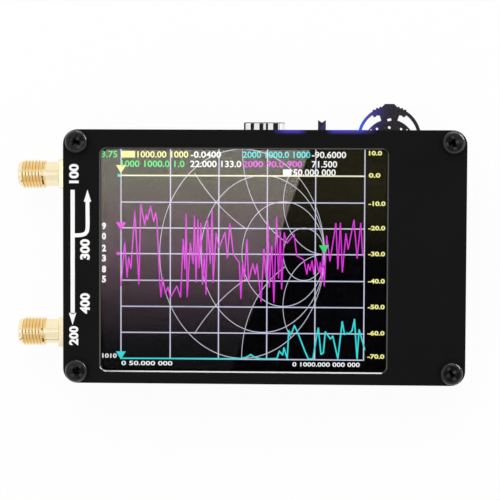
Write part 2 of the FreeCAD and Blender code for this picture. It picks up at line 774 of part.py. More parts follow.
def make_slide_switch():
    front_y = p.panel_h / 2 - s.slide_inset
    level = p.board_rear - s.slide_h
    wall = s.slide_wall
    inner_w = s.slide_w - 2 * wall
    inner_h = s.slide_h - wall
    stem_low = wall + (inner_h - s.slide_base_t) / 2 - s.lever_t / 2

    case = new_body("slide_switch_case")
    pad(case, [oblong(0, -s.slide_d / 2, s.slide_w, s.slide_d)], s.slide_h)
    pocket(case, [oblong(0, -wall - s.slide_d / 2, inner_w, s.slide_d)], inner_h, level=s.slide_h)
    slot_w = s.lever_w + s.slide_travel + 2 * s.slide_play
    slot = oblong(0, stem_low + s.lever_t / 2, slot_w, s.lever_t + 2 * s.slide_play)
    pocket(case, [slot], 2 * wall, level=-wall, plane="XZ_Plane").Reversed = True
    keep(case, "slide_switch_case", p.slide_x, front_y, level)

    base = new_body("slide_switch_base")
    pad(base, [oblong(0, -(wall + s.slide_d) / 2, inner_w, s.slide_d - wall)], s.slide_base_t,
        level=s.slide_h - s.slide_base_t)
    back_d = s.slide_d - wall - s.slider_d - 2 * s.slide_play
    pad(base, [oblong(0, back_d / 2 - s.slide_d, inner_w, back_d)], inner_h - s.slide_play,
        level=wall + s.slide_play)
    keep(base, "slide_switch_base", p.slide_x, front_y, level)

    lever = new_body("slide_switch_lever")
    slider_t = inner_h - s.slide_base_t - 2 * s.slide_play
    slider_front = -wall - s.slide_play
    pad(lever, [oblong(0, slider_front - s.slider_d / 2, s.slider_w, s.slider_d)], slider_t,
        level=wall + s.slide_play)
    half, tip = s.lever_w / 2, s.slide_inset + s.lever_out
    root = slider_front - s.slider_d / 2
    pad(lever, [Outline([(-half, root), (half, root), (half, tip), (0, tip - s.lever_notch), (-half, tip)])],
        s.lever_t, level=stem_low)
    keep(lever, "slide_switch_lever", p.slide_x + s.slide_travel / 2, front_y, level)

    foot_y = -s.slide_d - s.slide_pin_len / 2
    feet = [block(f"slide_foot_{i}", s.slide_pin_w, s.slide_pin_len, s.pin_t, x, foot_y, s.slide_h - s.pin_t)
            for i, x in enumerate(row(3, s.slide_pin_pitch))]
    keep(group("slide_feet", feet), "slide_switch_terminals", p.slide_x, front_y, level)


# ---- jog switch and lever, drawn about the lever's pivot ----

def rim_point(radius, degrees):
    """A point at an angle round the rim's own centre."""
    turn = math.radians(degrees)
    return radius * math.cos(turn), s.rim_rise + radius * math.sin(turn)


RIM_FOOT = 8          # degrees from the horizontal where the rim ends
GRIP_END = 58         # where the ridged grip begins
TAB_FOOT = 74         # where the slope up to the thumb tab begins
RIDGES = (60.5, 67, 73.5)
RIDGE_HALF = 2.2      # degrees from a ridge's top to its foot


def ridge(degrees):
    foot_r, top_r = s.rim_r - s.ridge_r, s.rim_r + s.ridge_r
    return Outline([rim_point(foot_r, degrees - RIDGE_HALF), rim_point(top_r, degrees),
                    rim_point(foot_r, degrees + RIDGE_HALF)])


def make_jog_lever():
    lever = new_body("jog_lever")
    inner_r = s.rim_r - s.rim_t
    grip_y = s.rim_rise + s.rim_r - s.grip_drop
    pad(lever, [Round(0, 0, s.hub_r), Round(0, 0, s.pivot_r + s.pivot_play)], s.jog_t)
    low = s.hub_r - s.rim_t
    pad(lever, [Outline([
        (*rim_point(s.rim_r, RIM_FOOT), s.rim_r), rim_point(s.rim_r, TAB_FOOT),
        (s.tab_w / 2, p.tab_top), (-s.tab_w / 2, p.tab_top),
        (*rim_point(s.rim_r, 180 - TAB_FOOT), s.rim_r), rim_point(s.rim_r, 180 - RIM_FOOT),
        (*rim_point(inner_r, 180 - RIM_FOOT), -inner_r), rim_point(inner_r, 183 - GRIP_END),
        (-s.neck_top_w / 2, grip_y), (-s.neck_low_w / 2, s.hub_r), (-s.neck_low_w / 2, low),
        (s.neck_low_w / 2, low), (s.neck_low_w / 2, s.hub_r), (s.neck_top_w / 2, grip_y),
        (*rim_point(inner_r, GRIP_END - 3), -inner_r), rim_point(inner_r, RIM_FOOT)])], s.jog_t)
    pad(lever, [ridge(angle) for degrees in RIDGES for angle in (degrees, 180 - degrees)], s.jog_t)
    pocket(lever, [oblong(0, s.hub_r - s.neck_slot_h / 2, s.neck_slot_w, s.neck_slot_h)])
    keep(lever, "jog_lever", p.jog_x, p.pivot_y, p.jog_low)


def make_jog_switch():
    back, front = p.well_back + s.jog_wall, s.jog_base_front
    floor_low = p.board_rear - s.jog_floor
    wall_front = s.jog_wall_front

    base = new_body("jog_base")
    pad(base, [oblong(0, (front - back) / 2, 2 * p.base_half, front + back)], s.jog_floor,
        level=floor_low - p.cover_top)
    walls = Outline([
        (-p.base_half, -back), (p.base_half, -back), (p.base_half, wall_front), (p.well_half, wall_front),
        (p.well_half, -p.well_back), (-p.well_half, -p.well_back), (-p.well_half, wall_front),
        (-p.base_half, wall_front)])
    pad(base, [walls], p.board_rear - p.cover_top)
    rail_in = s.carrier_w / 2 + s.pivot_play
    rail_w = p.base_half - rail_in
    rail_x, rail_y = rail_in + rail_w / 2, (front - s.carrier_back) / 2
    rails = [oblong(side * rail_x, rail_y, rail_w, front + s.carrier_back) for side in (-1, 1)]
    pad(base, rails, p.board_rear - p.rail_low, level=p.rail_low - p.cover_top)
    keep(base, "jog_base", p.jog_x, p.pivot_y, p.cover_top)

    cover = new_body("jog_cover")
    outer = p.base_half + s.cover_t
    depth = wall_front + back
    middle = (wall_front - back) / 2
    pad(cover, [oblong(0, middle, 2 * outer, depth)], s.cover_t)
    sides = [oblong(side * (outer - s.cover_t / 2), middle, s.cover_t, depth) for side in (-1, 1)]
    pad(cover, sides, p.board_rear - p.cover_top + s.cover_t)
    keep(cover, "jog_cover", p.jog_x, p.pivot_y, p.cover_top - s.cover_t)

    carrier = new_body("jog_carrier")
    plate_y = (s.carrier_front - s.carrier_back) / 2
    pad(carrier, [oblong(0, plate_y, s.carrier_w, s.carrier_front + s.carrier_back)], s.carrier_t,
        level=p.rail_low - p.jog_low)
    nose_low = -s.carrier_back - s.plunger_len
    half_nose = s.plunger_w / 2
    pad(carrier, [Outline([(-half_nose, nose_low), (half_nose, nose_low), (half_nose, 0), (-half_nose, 0)])],
        s.carrier_t, level=p.rail_low - p.jog_low)
    pad(carrier, [Round(0, 0, s.pivot_r)], p.rail_low - p.jog_low + s.carrier_t / 2)
    keep(carrier, "jog_carrier", p.jog_x, p.pivot_y, p.jog_low)

    spring = new_body("jog_spring")
    tip = -(s.carrier_back + s.plunger_len + s.press + s.press_spare)
    half, rise, t = s.spring_half, tip + p.well_back, s.spring_t
    outer_r = (half * half + rise * rise) / (2 * rise)
    inner_half, inner_rise = half - t, rise - t
    inner_r = (inner_half * inner_half + inner_rise * inner_rise) / (2 * inner_rise)
    pad(spring, [Outline([
        (half, -p.well_back, outer_r), (-half, -p.well_back), (-inner_half, -p.well_back, -inner_r),
        (inner_half, -p.well_back)])], s.spring_w, level=s.jog_play)
    keep(spring, "jog_spring", p.jog_x, p.pivot_y, p.rail_low)

    foot_y = -back - s.slide_pin_len / 2
    feet = [block(f"jog_foot_{i}", s.slide_pin_w, s.slide_pin_len, s.pin_t, x, foot_y, -s.pin_t)
            for i, x in enumerate(row(5, s.slide_pin_pitch))]
    keep(group("jog_feet", feet), "jog_terminals", p.jog_x, p.pivot_y, p.board_rear)


# ---- battery, its leads and their plug ----

def make_lead(name, x_end, y_start):
    """A wire that leaves the battery to the right, turns up in one arc and ends in the plug. Its insulation
    is eight-sided, which stays light."""
    run = x_end - p.battery_end - s.lead_bend
    rise = p.header_y - s.plug_out - y_start - s.lead_bend
    body = new_body(name)
    start, turn_in, turn_out = (0, 0), (run, 0), (run + s.lead_bend, s.lead_bend)
    route = draw(body, "XY_Plane", [Path([start, (*turn_in, s.lead_bend), turn_out,
                                          (run + s.lead_bend, s.lead_bend + rise)])])
    wire = body.newObject("PartDesign::AdditivePipe", name + "_wire")
    wire.Profile = draw(body, "YZ_Plane", [octagon(s.lead_r)])
    wire.Spine = (route, [f"Edge{i}" for i in (1, 2, 3)])
    body.Tip = wire
    return keep(body, name, p.battery_end, y_start, p.board_rear - s.tape_t - s.battery_t / 2)


def make_battery():
    level = p.board_rear - s.tape_t - s.battery_t
    cell = new_body("battery_cell")
    slice_of_pouch = rounded(0, s.battery_t / 2, s.cell_w, s.battery_t, s.pouch_round)
    pouch = pad(cell, [slice_of_pouch], s.cell_len, plane="YZ_Plane")
    pouch.Midplane = True
    keep(cell, "battery_cell", p.battery_x, p.battery_y, level)

    guard = block("guard", s.guard_len, s.guard_w, s.guard_h, z=(s.battery_t - s.guard_h) / 2)
    keep(group("guard_node", [guard]), "battery_guard", p.battery_end - s.guard_len / 2, p.battery_y, level)

    tape = block("battery_pad", s.cell_len - s.tape_w, s.battery_tape_w, s.tape_t)
    keep(group("battery_pad_node", [tape]), "battery_tape", p.battery_x, p.battery_y, level + s.battery_t)

    half_pitch = s.lead_pitch / 2
    red_y = p.battery_y + s.lead_rise
    make_lead("lead_red", p.header_x + half_pitch, red_y)
    make_lead("lead_black", p.header_x - half_pitch, red_y + s.lead_pitch)

    header_low = p.board_rear - s.header_h
    header = new_body("battery_header")
    pad(header, [oblong(0, s.header_d / 2, s.header_w, s.header_d)], s.header_h)
    cavity_w = s.header_w - 2 * s.header_wall
    cavity_h = s.header_h - 2 * s.header_wall
    cavity_d = s.header_d - s.header_wall
    pocket(header, [oblong(0, s.header_h / 2, cavity_w, cavity_h)], cavity_d, plane="XZ_Plane")
    keep(header, "battery_header", p.header_x, p.header_y, header_low)

    plug = block("plug", cavity_w - 2 * s.plug_play, s.plug_out + cavity_d - s.plug_play,
                 cavity_h - 2 * s.plug_play, 0, (cavity_d - s.plug_play - s.plug_out) / 2,
                 s.header_wall + s.plug_play)
    keep(group("plug_node", [plug]), "battery_plug", p.header_x, p.header_y, header_low)


# ---- shield and electronics on the rear of the board ----

def make_electronics():
    frame = new_body("shield_frame")
    inner_w, inner_d = s.shield_w - 2 * s.shield_t, s.shield_d - 2 * s.shield_t
    pad(frame, [oblong(0, 0, s.shield_w, s.shield_d), oblong(0, 0, inner_w, inner_d)], s.shield_h)
    keep(frame, "shield_frame", p.shield_x, s.shield_rise, p.board_rear - s.shield_h)

    lid = new_body("shield_lid")
    lid_w, lid_d = s.shield_w + 2 * s.shield_t, s.shield_d + 2 * s.shield_t
    pad(lid, [oblong(0, 0, lid_w, lid_d)], s.shield_t + s.shield_rim)
    pocket(lid, [oblong(0, 0, s.shield_w, s.shield_d)], s.shield_rim, level=s.shield_t + s.shield_rim)
    keep(lid, "shield_lid", p.shield_x, s.shield_rise, p.board_rear - s.shield_h - s.shield_t)

    chips = [block(f"signal_chip_{i}", s.chip_w, s.chip_w, s.chip_t, y=y)
             for i, y in enumerate(row(3, s.chip_pitch))]
    keep(group("signal_chip_set", chips), "signal_chips", p.shield_x, s.shield_rise, p.board_rear - s.chip_t)

    parts = [block("chip_case", s.processor_w, s.processor_w, s.processor_t - s.pin_t)]
    reach = s.processor_w / 2 + s.chip_foot_len / 2
    foot_z = s.processor_t - s.chip_foot_h
    long, wide = s.chip_foot_len, s.chip_foot_w
    for i, along in enumerate(row(8, s.chip_foot_pitch)):
        for side in (-1, 1):
            tag = f"{i}_{'low' if side < 0 else 'high'}"
            parts.append(block(f"chip_foot_x_{tag}", long, wide, s.chip_foot_h, side * reach, along, foot_z))
            parts.append(block(f"chip_foot_y_{tag}", wide, long, s.chip_foot_h, along, side * reach, foot_z))
    keep(group("processor_node", parts), "processor", p.processor_x, p.chips_y, p.board_rear - s.processor_t)

    can = new_body("crystal")
    pad(can, [oblong(0, 0, s.crystal_w, s.crystal_d)], s.crystal_t)
    keep(can, "crystal", p.crystal_x, p.chips_y, p.board_rear - s.crystal_t)

    small = []
    left = p.processor_x - s.processor_w / 2
    right = p.crystal_x + s.crystal_w / 2
    columns = (left - s.passive_pitch_x, left - 2 * s.passive_pitch_x,
               right + s.passive_pitch_x, right + 2 * s.passive_pitch_x)
    for i, x in enumerate(columns):
        for j, y in enumerate(row(4, s.passive_pitch_y)):
            small.append(block(f"passive_{i}_{j}", s.passive_w, s.passive_d, s.passive_t, x, y))
    keep(group("passive_set", small), "passives", 0, p.chips_y, p.board_rear - s.passive_t)

    lamps = [block(f"lamp_{i}", s.led_w, s.led_d, s.led_t, x)
             for i, x in enumerate((-s.led_1_pitch, s.led_2_pitch))]
    led_y = p.panel_h / 2 - s.led_inset - s.led_d / 2
    keep(group("lamp_pair", lamps), "status_leds", p.slide_x, led_y, p.board_rear - s.led_t)


def check_document():
    """Stops on any object that failed, any cut that removed nothing and any sub-part that is not sound."""
    for item in doc.Objects:
        if {"Invalid", "Error"} & set(item.State):
            raise RuntimeError(f"{item.Name} ({item.Label}) failed: {item.State}")
        if item.TypeId == "PartDesign::Pocket":
            if item.Shape.Volume > item.BaseFeature.Shape.Volume - 1e-6:
                raise RuntimeError(f"{item.Name} cuts nothing")
    for piece in PIECES:
        if piece.Shape.isNull() or not piece.Shape.isValid():
            raise RuntimeError(f"{piece.Label} is not a sound shape")


make_sheets()
make_fixings()
make_display()
make_port(1, p.port_1_y)
make_port(2, p.port_2_y)
make_usb()
make_slide_switch()
make_jog_lever()
make_jog_switch()
make_battery()
make_electronics()
doc.recompute()
check_document()

os.makedirs("parts", exist_ok=True)
for piece in PIECES:
    piece.Shape.exportStep(f"parts/{piece.Label}.step")
    box = piece.Shape.BoundBox
    solids, volume = len(piece.Shape.Solids), piece.Shape.Volume
    print(f"{piece.Label:24s} solids {solids:3d}  volume {volume:9.2f}  x {box.XMin:7.2f} {box.XMax:7.2f}  "
          f"y {box.YMin:7.2f} {box.YMax:7.2f}  z {box.ZMin:6.2f} {box.ZMax:6.2f}")
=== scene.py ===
import math
import random

import bmesh
import bpy
from mathutils import Color, Matrix, Vector


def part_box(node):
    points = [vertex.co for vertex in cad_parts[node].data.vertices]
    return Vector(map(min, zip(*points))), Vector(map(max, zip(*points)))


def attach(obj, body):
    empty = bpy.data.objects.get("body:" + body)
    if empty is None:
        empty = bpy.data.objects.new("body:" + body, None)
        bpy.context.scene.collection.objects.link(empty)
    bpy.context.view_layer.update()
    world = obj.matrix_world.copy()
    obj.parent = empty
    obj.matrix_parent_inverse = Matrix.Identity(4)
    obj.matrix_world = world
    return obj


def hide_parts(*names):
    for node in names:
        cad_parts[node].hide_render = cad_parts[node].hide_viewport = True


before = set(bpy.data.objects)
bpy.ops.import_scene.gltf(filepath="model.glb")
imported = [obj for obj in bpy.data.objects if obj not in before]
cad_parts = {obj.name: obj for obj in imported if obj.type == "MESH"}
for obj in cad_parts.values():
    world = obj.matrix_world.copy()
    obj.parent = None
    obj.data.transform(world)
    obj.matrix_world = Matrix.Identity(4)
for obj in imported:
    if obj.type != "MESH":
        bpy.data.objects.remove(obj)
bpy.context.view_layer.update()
scene = bpy.context.scene


# ---- camera ----
# A long lens almost straight above the analyzer, which lies on its back, a little to the right of the
# screen's middle and a little above it.

TILT_X, TILT_Y, TILT_Z = 2.211, -1.854, -0.334
DISTANCE = 0.3

tilt = (Matrix.Rotation(math.radians(TILT_Z), 3, "Z") @ Matrix.Rotation(math.radians(TILT_Y), 3, "Y")
        @ Matrix.Rotation(math.radians(TILT_X), 3, "X")).transposed()
low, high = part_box("front_panel")
aim = Vector((*((low + high) / 2).xy, high.z))
lens = bpy.data.cameras.new("camera")
lens.lens = 101.98
lens.shift_x, lens.shift_y = -0.0275, 0.015
lens.clip_start = 0.01
camera = bpy.data.objects.new("camera", lens)
camera.matrix_world = tilt.to_4x4()
camera.location = aim + tilt @ Vector((0, 0, DISTANCE))
scene.collection.objects.link(camera)
scene.camera = camera


# ---- table, light and what hangs overhead ----
# A white table in a white room, with a soft lamp above the controls and a low strip of light behind them.
# The dark board overhead is what the screen mirrors: a pale window on its left and black beside it. The
# cards, cloths and flags are what the gold, the steel and the screws mirror.

scene.view_settings.view_transform = "Standard"


def paint(red, green, blue):
    """A colour given in steps of 0 to 255."""
    return (*Color((red / 255, green / 255, blue / 255)).from_srgb_to_scene_linear(), 1)


class Signal:
    """A value in a finish that takes part in sums."""

    def __init__(self, finish, socket):
        self.finish = finish
        self.socket = socket

    def maths(self, operation, *values):
        return self.finish.node("ShaderNodeMath", {"operation": operation}, dict(enumerate(values)))

    def __add__(self, other):
        return self.maths("ADD", self, other)

    def __sub__(self, other):
        return self.maths("SUBTRACT", self, other)

    def __rsub__(self, other):
        return self.maths("SUBTRACT", other, self)

    def __mul__(self, other):
        return self.maths("MULTIPLY", self, other)

    def __truediv__(self, other):
        return self.maths("DIVIDE", self, other)

    def __pow__(self, other):
        return self.maths("POWER", self, other)

    def __abs__(self):
        return self.maths("ABSOLUTE", self)

    def __lt__(self, other):
        return self.maths("LESS_THAN", self, other)

    __radd__, __rmul__ = __add__, __mul__

    def clamped(self):
        return self.finish.node("ShaderNodeClamp", {}, {0: self})

    def also(self, name):
        """Another output of the same node."""
        return Signal(self.finish, self.socket.node.outputs[name])


class Finish:
    """Shader nodes for a material or the world. Patterns follow a piece's own coordinates, in mm."""

    def __init__(self, owner):
        owner.use_nodes = True
        self.owner = owner
        self.tree = owner.node_tree
        self.tree.nodes.clear()
        spot = self.node("ShaderNodeTexCoord", {}, {}, "Object")
        self.place = self.node("ShaderNodeVectorMath", {"operation": "SCALE"}, {0: spot, "Scale": 1000})
        self.x = self.node("ShaderNodeSeparateXYZ", {}, {0: self.place})
        self.y, self.z = self.x.also("Y"), self.x.also("Z")

    def node(self, kind, settings, inputs, output=0):
        made = self.tree.nodes.new(kind)
        for name, value in settings.items():
            if name == "stops":
                for stop in value[2:]:
                    made.color_ramp.elements.new(stop[0])
                for element, (at, colour) in zip(made.color_ramp.elements, value):
                    element.position, element.color = at, colour
            else:
                setattr(made, name, value)
        for name, value in inputs.items():
            if isinstance(value, Signal):
                self.tree.links.new(value.socket, made.inputs[name])
            else:
                made.inputs[name].default_value = value
        return Signal(self, made.outputs[output])

    def noise(self, size, detail=2.0, stretch=(1, 1, 1)):
        """Clouds from 0 to 1 about as large as size, drawn out along an axis by a small stretch."""
        spot = self.node("ShaderNodeVectorMath", {"operation": "MULTIPLY"}, {0: self.place, 1: stretch})
        return self.node("ShaderNodeTexNoise", {}, {"Vector": spot, "Scale": 1 / size, "Detail": detail})

    def blend(self, share, low, high):
        """A colour between two others."""
        return self.node("ShaderNodeMix", {"data_type": "RGBA"}, {0: share, 6: low, 7: high}, 2)

    def step(self, value, low, high):
        """0 below low, 1 above high, and an even slope between."""
        return self.node("ShaderNodeMapRange", {}, {0: value, 1: low, 2: high})

    def near(self, spot, reach):
        """1 at a point, falling to 0 at that distance from it."""
        gap = self.node("ShaderNodeVectorMath", {"operation": "DISTANCE"}, {0: self.place, 1: spot}, "Value")
        return (1 - gap / reach).clamped()

    def surface(self, colour, roughness, height=None, depth=0.01, **more):
        """Ends the material; height is a relief that is depth mm deep."""
        inputs = {"Base Color": colour, "Roughness": roughness}
        if height:
            inputs["Normal"] = self.node("ShaderNodeBump", {}, {"Distance": depth / 1000, "Height": height})
        sockets = {"specular": "Specular IOR Level", "ior": "IOR"}
        for name, value in more.items():
            inputs[sockets.get(name, name.replace("_", " ").title())] = value
        self.end(self.node("ShaderNodeBsdfPrincipled", {}, inputs))
        return self.owner

    def end(self, shader, kind="ShaderNodeOutputMaterial"):
        self.tree.links.new(shader.socket, self.tree.nodes.new(kind).inputs[0])


def material(name):
    return Finish(bpy.data.materials.new(name))


def seen_or_mirrored(finish):
    """1 for what the camera sees straight on, in metal and through glass."""
    ray = finish.node("ShaderNodeLightPath", {}, {}, "Is Camera Ray")
    return (ray + ray.also("Is Glossy Ray") + ray.also("Is Transmission Ray")).clamped()


def solid(name, bm, *materials):
    """Turns a mesh drawn in mm into an object, smooth but for its sharp edges."""
    bmesh.ops.remove_doubles(bm, verts=bm.verts, dist=1e-4)
    bmesh.ops.recalc_face_normals(bm, faces=bm.faces)
    bmesh.ops.scale(bm, vec=(0.001, 0.001, 0.001), verts=bm.verts)
    mesh = bpy.data.meshes.new(name)
    bm.to_mesh(mesh)
    bm.free()
    mesh.shade_smooth()
    mesh.set_sharp_from_angle(angle=math.radians(35))
    for each in materials:
        mesh.materials.append(each)
    thing = bpy.data.objects.new(name, mesh)
    scene.collection.objects.link(thing)
    return thing


def leaf(bm, left, right, low, high, z):
    """A flat rectangle."""
    made = bmesh.ops.create_grid(bm, x_segments=1, y_segments=1, size=0.5)["verts"]
    bmesh.ops.scale(bm, vec=(right - left, high - low, 1), verts=made)
    bmesh.ops.translate(bm, vec=((left + right) / 2, (low + high) / 2, z), verts=made)
    return made


room = Finish(bpy.data.worlds.new("white_room"))
scene.world = room.owner
wall_light = 0.72 + 0.28 * seen_or_mirrored(room)
room.end(room.node("ShaderNodeBackground", {}, {0: (1, 1, 1, 1), 1: wall_light}), "ShaderNodeOutputWorld")

table_top = material("white_table")
grain = table_top.blend(table_top.noise(40, 4), paint(240, 240, 240), paint(246, 246, 246))
table_top.end(table_top.node("ShaderNodeMixShader", {}, {
    0: seen_or_mirrored(table_top) * 0.95,
    1: table_top.node("ShaderNodeBsdfDiffuse", {}, {0: grain}),
    2: table_top.node("ShaderNodeEmission", {}, {})}))
TABLE_HALF = 2000
bm = bmesh.new()
leaf(bm, -TABLE_HALF, TABLE_HALF, -TABLE_HALF, TABLE_HALF, -0.02)
table = solid("table", bm, table_top.owner)

# the window ends along a slanting line, and its light falls off towards the bottom
board = material("board_overhead")
beyond = board.x * 0.944 - board.y * 0.331 + 1.9
lit = board.step(beyond, 0.6, -0.6)
fall = board.node("ShaderNodeValToRGB", {"stops": [
    (0.0, (0.12, 0.12, 0.12, 1)), (0.1, (0.2, 0.18, 0.19, 1)), (0.26, (0.9, 0.6, 0.72, 1)),
    (0.41, (2.3, 1.45, 1.75, 1)), (0.5, (3.3, 2.3, 2.7, 1)), (0.65, (4.1, 3.15, 3.05, 1)),
    (0.8, (4.7, 4.3, 3.5, 1)), (0.95, (4.9, 4.7, 3.9, 1))]}, {0: board.step(board.y, -110, 58)})
gloom = board.blend(board.step(board.y, -35, 12), (0.02, 0.02, 0.024, 1), (0.42, 0.36, 0.16, 1))
board.end(board.node("ShaderNodeEmission", {}, {0: board.blend(lit, gloom, fall), 1: 1.0}))
BOARD_Z, BOARD_LEFT, BOARD_TOP = 750, -145, 52
bm = bmesh.new()
leaf(bm, BOARD_LEFT, 320, -200, BOARD_TOP, BOARD_Z)
hung = [solid("overhead_board", bm, board.owner)]

# each card's name, its light, the axis it is stood up about, how far off it is, and its leaves, as left,
# right, low and high
for name, light, axis, away, leaves in (
        ("dark_flags", 0.02, None, BOARD_Z, (
            (-140, -38.5, BOARD_TOP, 260), (-28, -20, BOARD_TOP, 260), (-17, -12.5, BOARD_TOP, 260),
            (-2.6, 120, BOARD_TOP, 260), (-190, BOARD_LEFT, 42, 90), (-190, BOARD_LEFT, -150, -104))),
        # painted shade: a dark card on the table beside the socket, which the steel mirrors in place of the
        # bright table
        ("table_shade_card", 0.05, None, 0.5, ((-30, 0.5, 24.5, 36),)),
        ("grey_cloths", 0.9, None, BOARD_Z, (
            (-1500, BOARD_LEFT, 230, 590), (-1500, BOARD_LEFT, 680, 1500), (-1500, BOARD_LEFT, -1500, -200))),
        ("grey_bar", 0.6, None, BOARD_Z, ((-450, BOARD_LEFT, 590, 680),)),
        ("roof_window", 1.12, None, BOARD_Z - 1, ((-450, BOARD_LEFT, -104, 42), (-450, -168, -200, 230))),
        ("low_card", 0.3, "X", 900, ((-500, -170, 0, 120),)),
        ("upper_card", 0.5, "Y", -400, ((-220, 0, 90, 1100),)),
        ("lower_card", 0.3, "Y", -400, ((-220, 0, -1100, -90),)),
        ("side_window", 1.5, "Y", 150, ((-150, -62, -20, 50),)),
        ("corner_window", 40.0, "Y", 420, ((-95, -20, 150, 560),)),
        ("right_flag", 0.03, "Y", 420, ((-330, -236, -60, 300),)),
        ("right_cloth", 0.75, "Y", 420, ((-1200, -345, -300, 500),)),
        ("usb_screen", 1.0, "Y", 10.4, ((-7.36, 1, 24, 27.5),)),
        ("port_1_screen", 1.0, "X", -18.4, ((-60, -37.8, -1, 13),)),
        ("port_2_screen", 1.0, "X", 16, ((-60, -37.8, -1, 13),)),
        ("port_backing", 1.0, "Y", -37.75, ((-13, -7.5, 13.4, 18.4), (-13, -7.5, -24, -18.4)))):
    glow = material(name)
    glow.end(glow.node("ShaderNodeEmission", {}, {0: (light, light, light, 1)}))
    bm = bmesh.new()
    for edges in leaves:
        leaf(bm, *edges, away)
    if axis:
        bmesh.ops.rotate(bm, matrix=Matrix.Rotation(math.pi / 2, 3, axis), verts=bm.verts)
    hung.append(solid(name, bm, glow.owner))
for thing in hung:
    thing.visible_camera = thing.visible_diffuse = thing.visible_shadow = False


def lamp(name, watts, width, height, place, target, mirrored):
    """A flat lamp in metres, which metal and glass may mirror but the camera doesn't see."""
    light = bpy.data.lights.new(name, "AREA")
    light.energy, light.shape, light.size, light.size_y = watts, "RECTANGLE", width, height
    thing = bpy.data.objects.new(name, light)
    thing.location = place
    thing.rotation_euler = (Vector(target) - Vector(place)).to_track_quat("-Z", "Y").to_euler()
    thing.visible_camera, thing.visible_glossy = False, mirrored
    scene.collection.objects.link(thing)


lamp("soft_lamp", 2.6, 0.5, 0.5, (-0.15, 0.55, 0.6), (0, 0, 0), False)
lamp("low_strip", 2.2, 0.66, 0.07, (0.17, 0.9, 0.124), (0.17, 0, 0.012), True)


# ---- back sheet ----
# A 1.2 mm sheet of glass-fibre board under black lacquer, the floor of the stack. Its edges are routed,
# so the brown fibre shows there, and four holes take the screws.

CORNER_R, SHEET_BREAK = 3.1, 0.08
HOLE_R, HOLE_IN_X, HOLE_IN_Y = 1.35, 3.0, 2.7
# painted blue light on the front sheet's top rim: its spans along x, each as dark, full, fading and gone, and
# its band in y
PAINTED_GLOW_SPANS = (7, 9.8, 12.4, 14.4), (18.2, 20, 25, 29)
PAINTED_GLOW_RIM = 23.0, 23.8


def steepness(finish):
    """1 where a surface lies flat, 0 where it stands upright."""
    facing = finish.node("ShaderNodeTexCoord", {}, {}, "Normal")
    return abs(finish.node("ShaderNodeSeparateXYZ", {}, {0: facing}, "Z"))


def lacquered_board(name, glow=False):
    """Black solder lacquer on the faces of a sheet, bare laminate on its edges. With glow, painted blue light
    from two lamps behind the top edge lies on its rim, rising and falling over the spans."""
    finish = material(name)
    cut = steepness(finish) < 0.4
    lacquer = finish.blend(finish.noise(9, 3), paint(11, 11, 12), paint(16, 16, 17))
    fibre = finish.blend(finish.noise(0.12, 3, (0.2, 0.2, 3)), paint(34, 28, 20), paint(70, 58, 38))
    height = finish.noise(0.5, 3) * 0.5 + finish.noise(0.12, 1) * 0.25
    more = {}
    # painted light: blue emission on the rim stands for the lamps behind the top edge shining on it
    if glow:
        left, right = [finish.step(finish.x, dark, full) * finish.step(finish.x, gone, fading)
                       for dark, full, fading, gone in PAINTED_GLOW_SPANS]
        rim = finish.step(finish.y, *PAINTED_GLOW_RIM)
        more["emission_color"] = finish.blend((left + right) * rim, (0, 0, 0, 1), paint(72, 64, 180))
        more["emission_strength"] = 1.0
    return finish.surface(finish.blend(cut, lacquer, fibre), 0.4 + finish.noise(3, 3) * 0.18 + cut * 0.3,
                          height, 0.012, specular=0.07, **more)


def rounded(x, y, w, d, r):
    """A rectangle with round corners, which can be drawn larger at any height."""
    def draw(bm, grow, z):
        made = leaf(bm, x - w / 2 - grow, x + w / 2 + grow, y - d / 2 - grow, y + d / 2 + grow, z)
        if r + grow > 0:
            made = bmesh.ops.bevel(bm, geom=made, offset=r + grow, segments=8, affect="VERTICES",
                                   profile=0.5, material=-1)["verts"]
        face = made[0].link_faces[0]
        edges = face.edges[:]
        bmesh.ops.delete(bm, geom=[face], context="FACES_ONLY")
        return edges
    return draw


def circle(x, y, r, sides):
    """A round or many-sided outline of the same kind."""
    def draw(bm, grow, z):
        made = bmesh.ops.create_circle(bm, cap_ends=False, radius=r + grow, segments=sides)["verts"]
        bmesh.ops.translate(bm, vec=(x, y, z), verts=made)
        return list({edge for vert in made for edge in vert.link_edges})
    return draw


def plate(bm, *walls):
    """A sheet with holes. Each wall is an outline and its steps from low to high, as (growth, height)."""
    ends = [], []
    for outline, steps in walls:
        rings = [outline(bm, grow, z) for grow, z in steps]
        for below, above in zip(rings, rings[1:]):
            bmesh.ops.bridge_loops(bm, edges=below + above)
        ends[0].extend(rings[0])
        ends[1].extend(rings[-1])
    for edges in ends:
        bmesh.ops.triangle_fill(bm, use_beauty=True, edges=edges, normal=(0, 0, 1))


def broken(low, high, by, sign=-1):
    """The steps of a wall whose two edges are broken; sign 1 is for a hole."""
    return [(sign * by, low), (0, low + by), (0, high - by), (sign * by, high)]


def box_of(node):
    """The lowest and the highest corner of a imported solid, in mm."""
    low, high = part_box(node)
    return low * 1000, high * 1000


low, high = box_of("back_panel")
HOLES = [(x, y) for x in (high.x - HOLE_IN_X, low.x + HOLE_IN_X)
         for y in (high.y - HOLE_IN_Y, low.y + HOLE_IN_Y)]


def sheet_walls(node):
    """The outer wall of a sheet and the walls of its four screw holes."""
    low, high = box_of(node)
    middle, size = (low + high) / 2, high - low
    outside = rounded(middle.x, middle.y, size.x, size.y, CORNER_R)
    return [(outside, broken(low.z, high.z, SHEET_BREAK))] + [
        (circle(x, y, HOLE_R, 32), broken(low.z, high.z, SHEET_BREAK, 1)) for x, y in HOLES]


def piece(name, bm, materials, replaces=(), body="chassis", edge=0):
    """A finished piece of the analyzer on one of its bodies."""
    thing = solid(name, bm, *materials)
    if edge:
        soften(thing, edge)
    flats = thing.modifiers.new("flats", "WEIGHTED_NORMAL")
    flats.keep_sharp, flats.weight = True, 100
    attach(thing, body)
    if replaces:
        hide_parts(*replaces)
    return thing


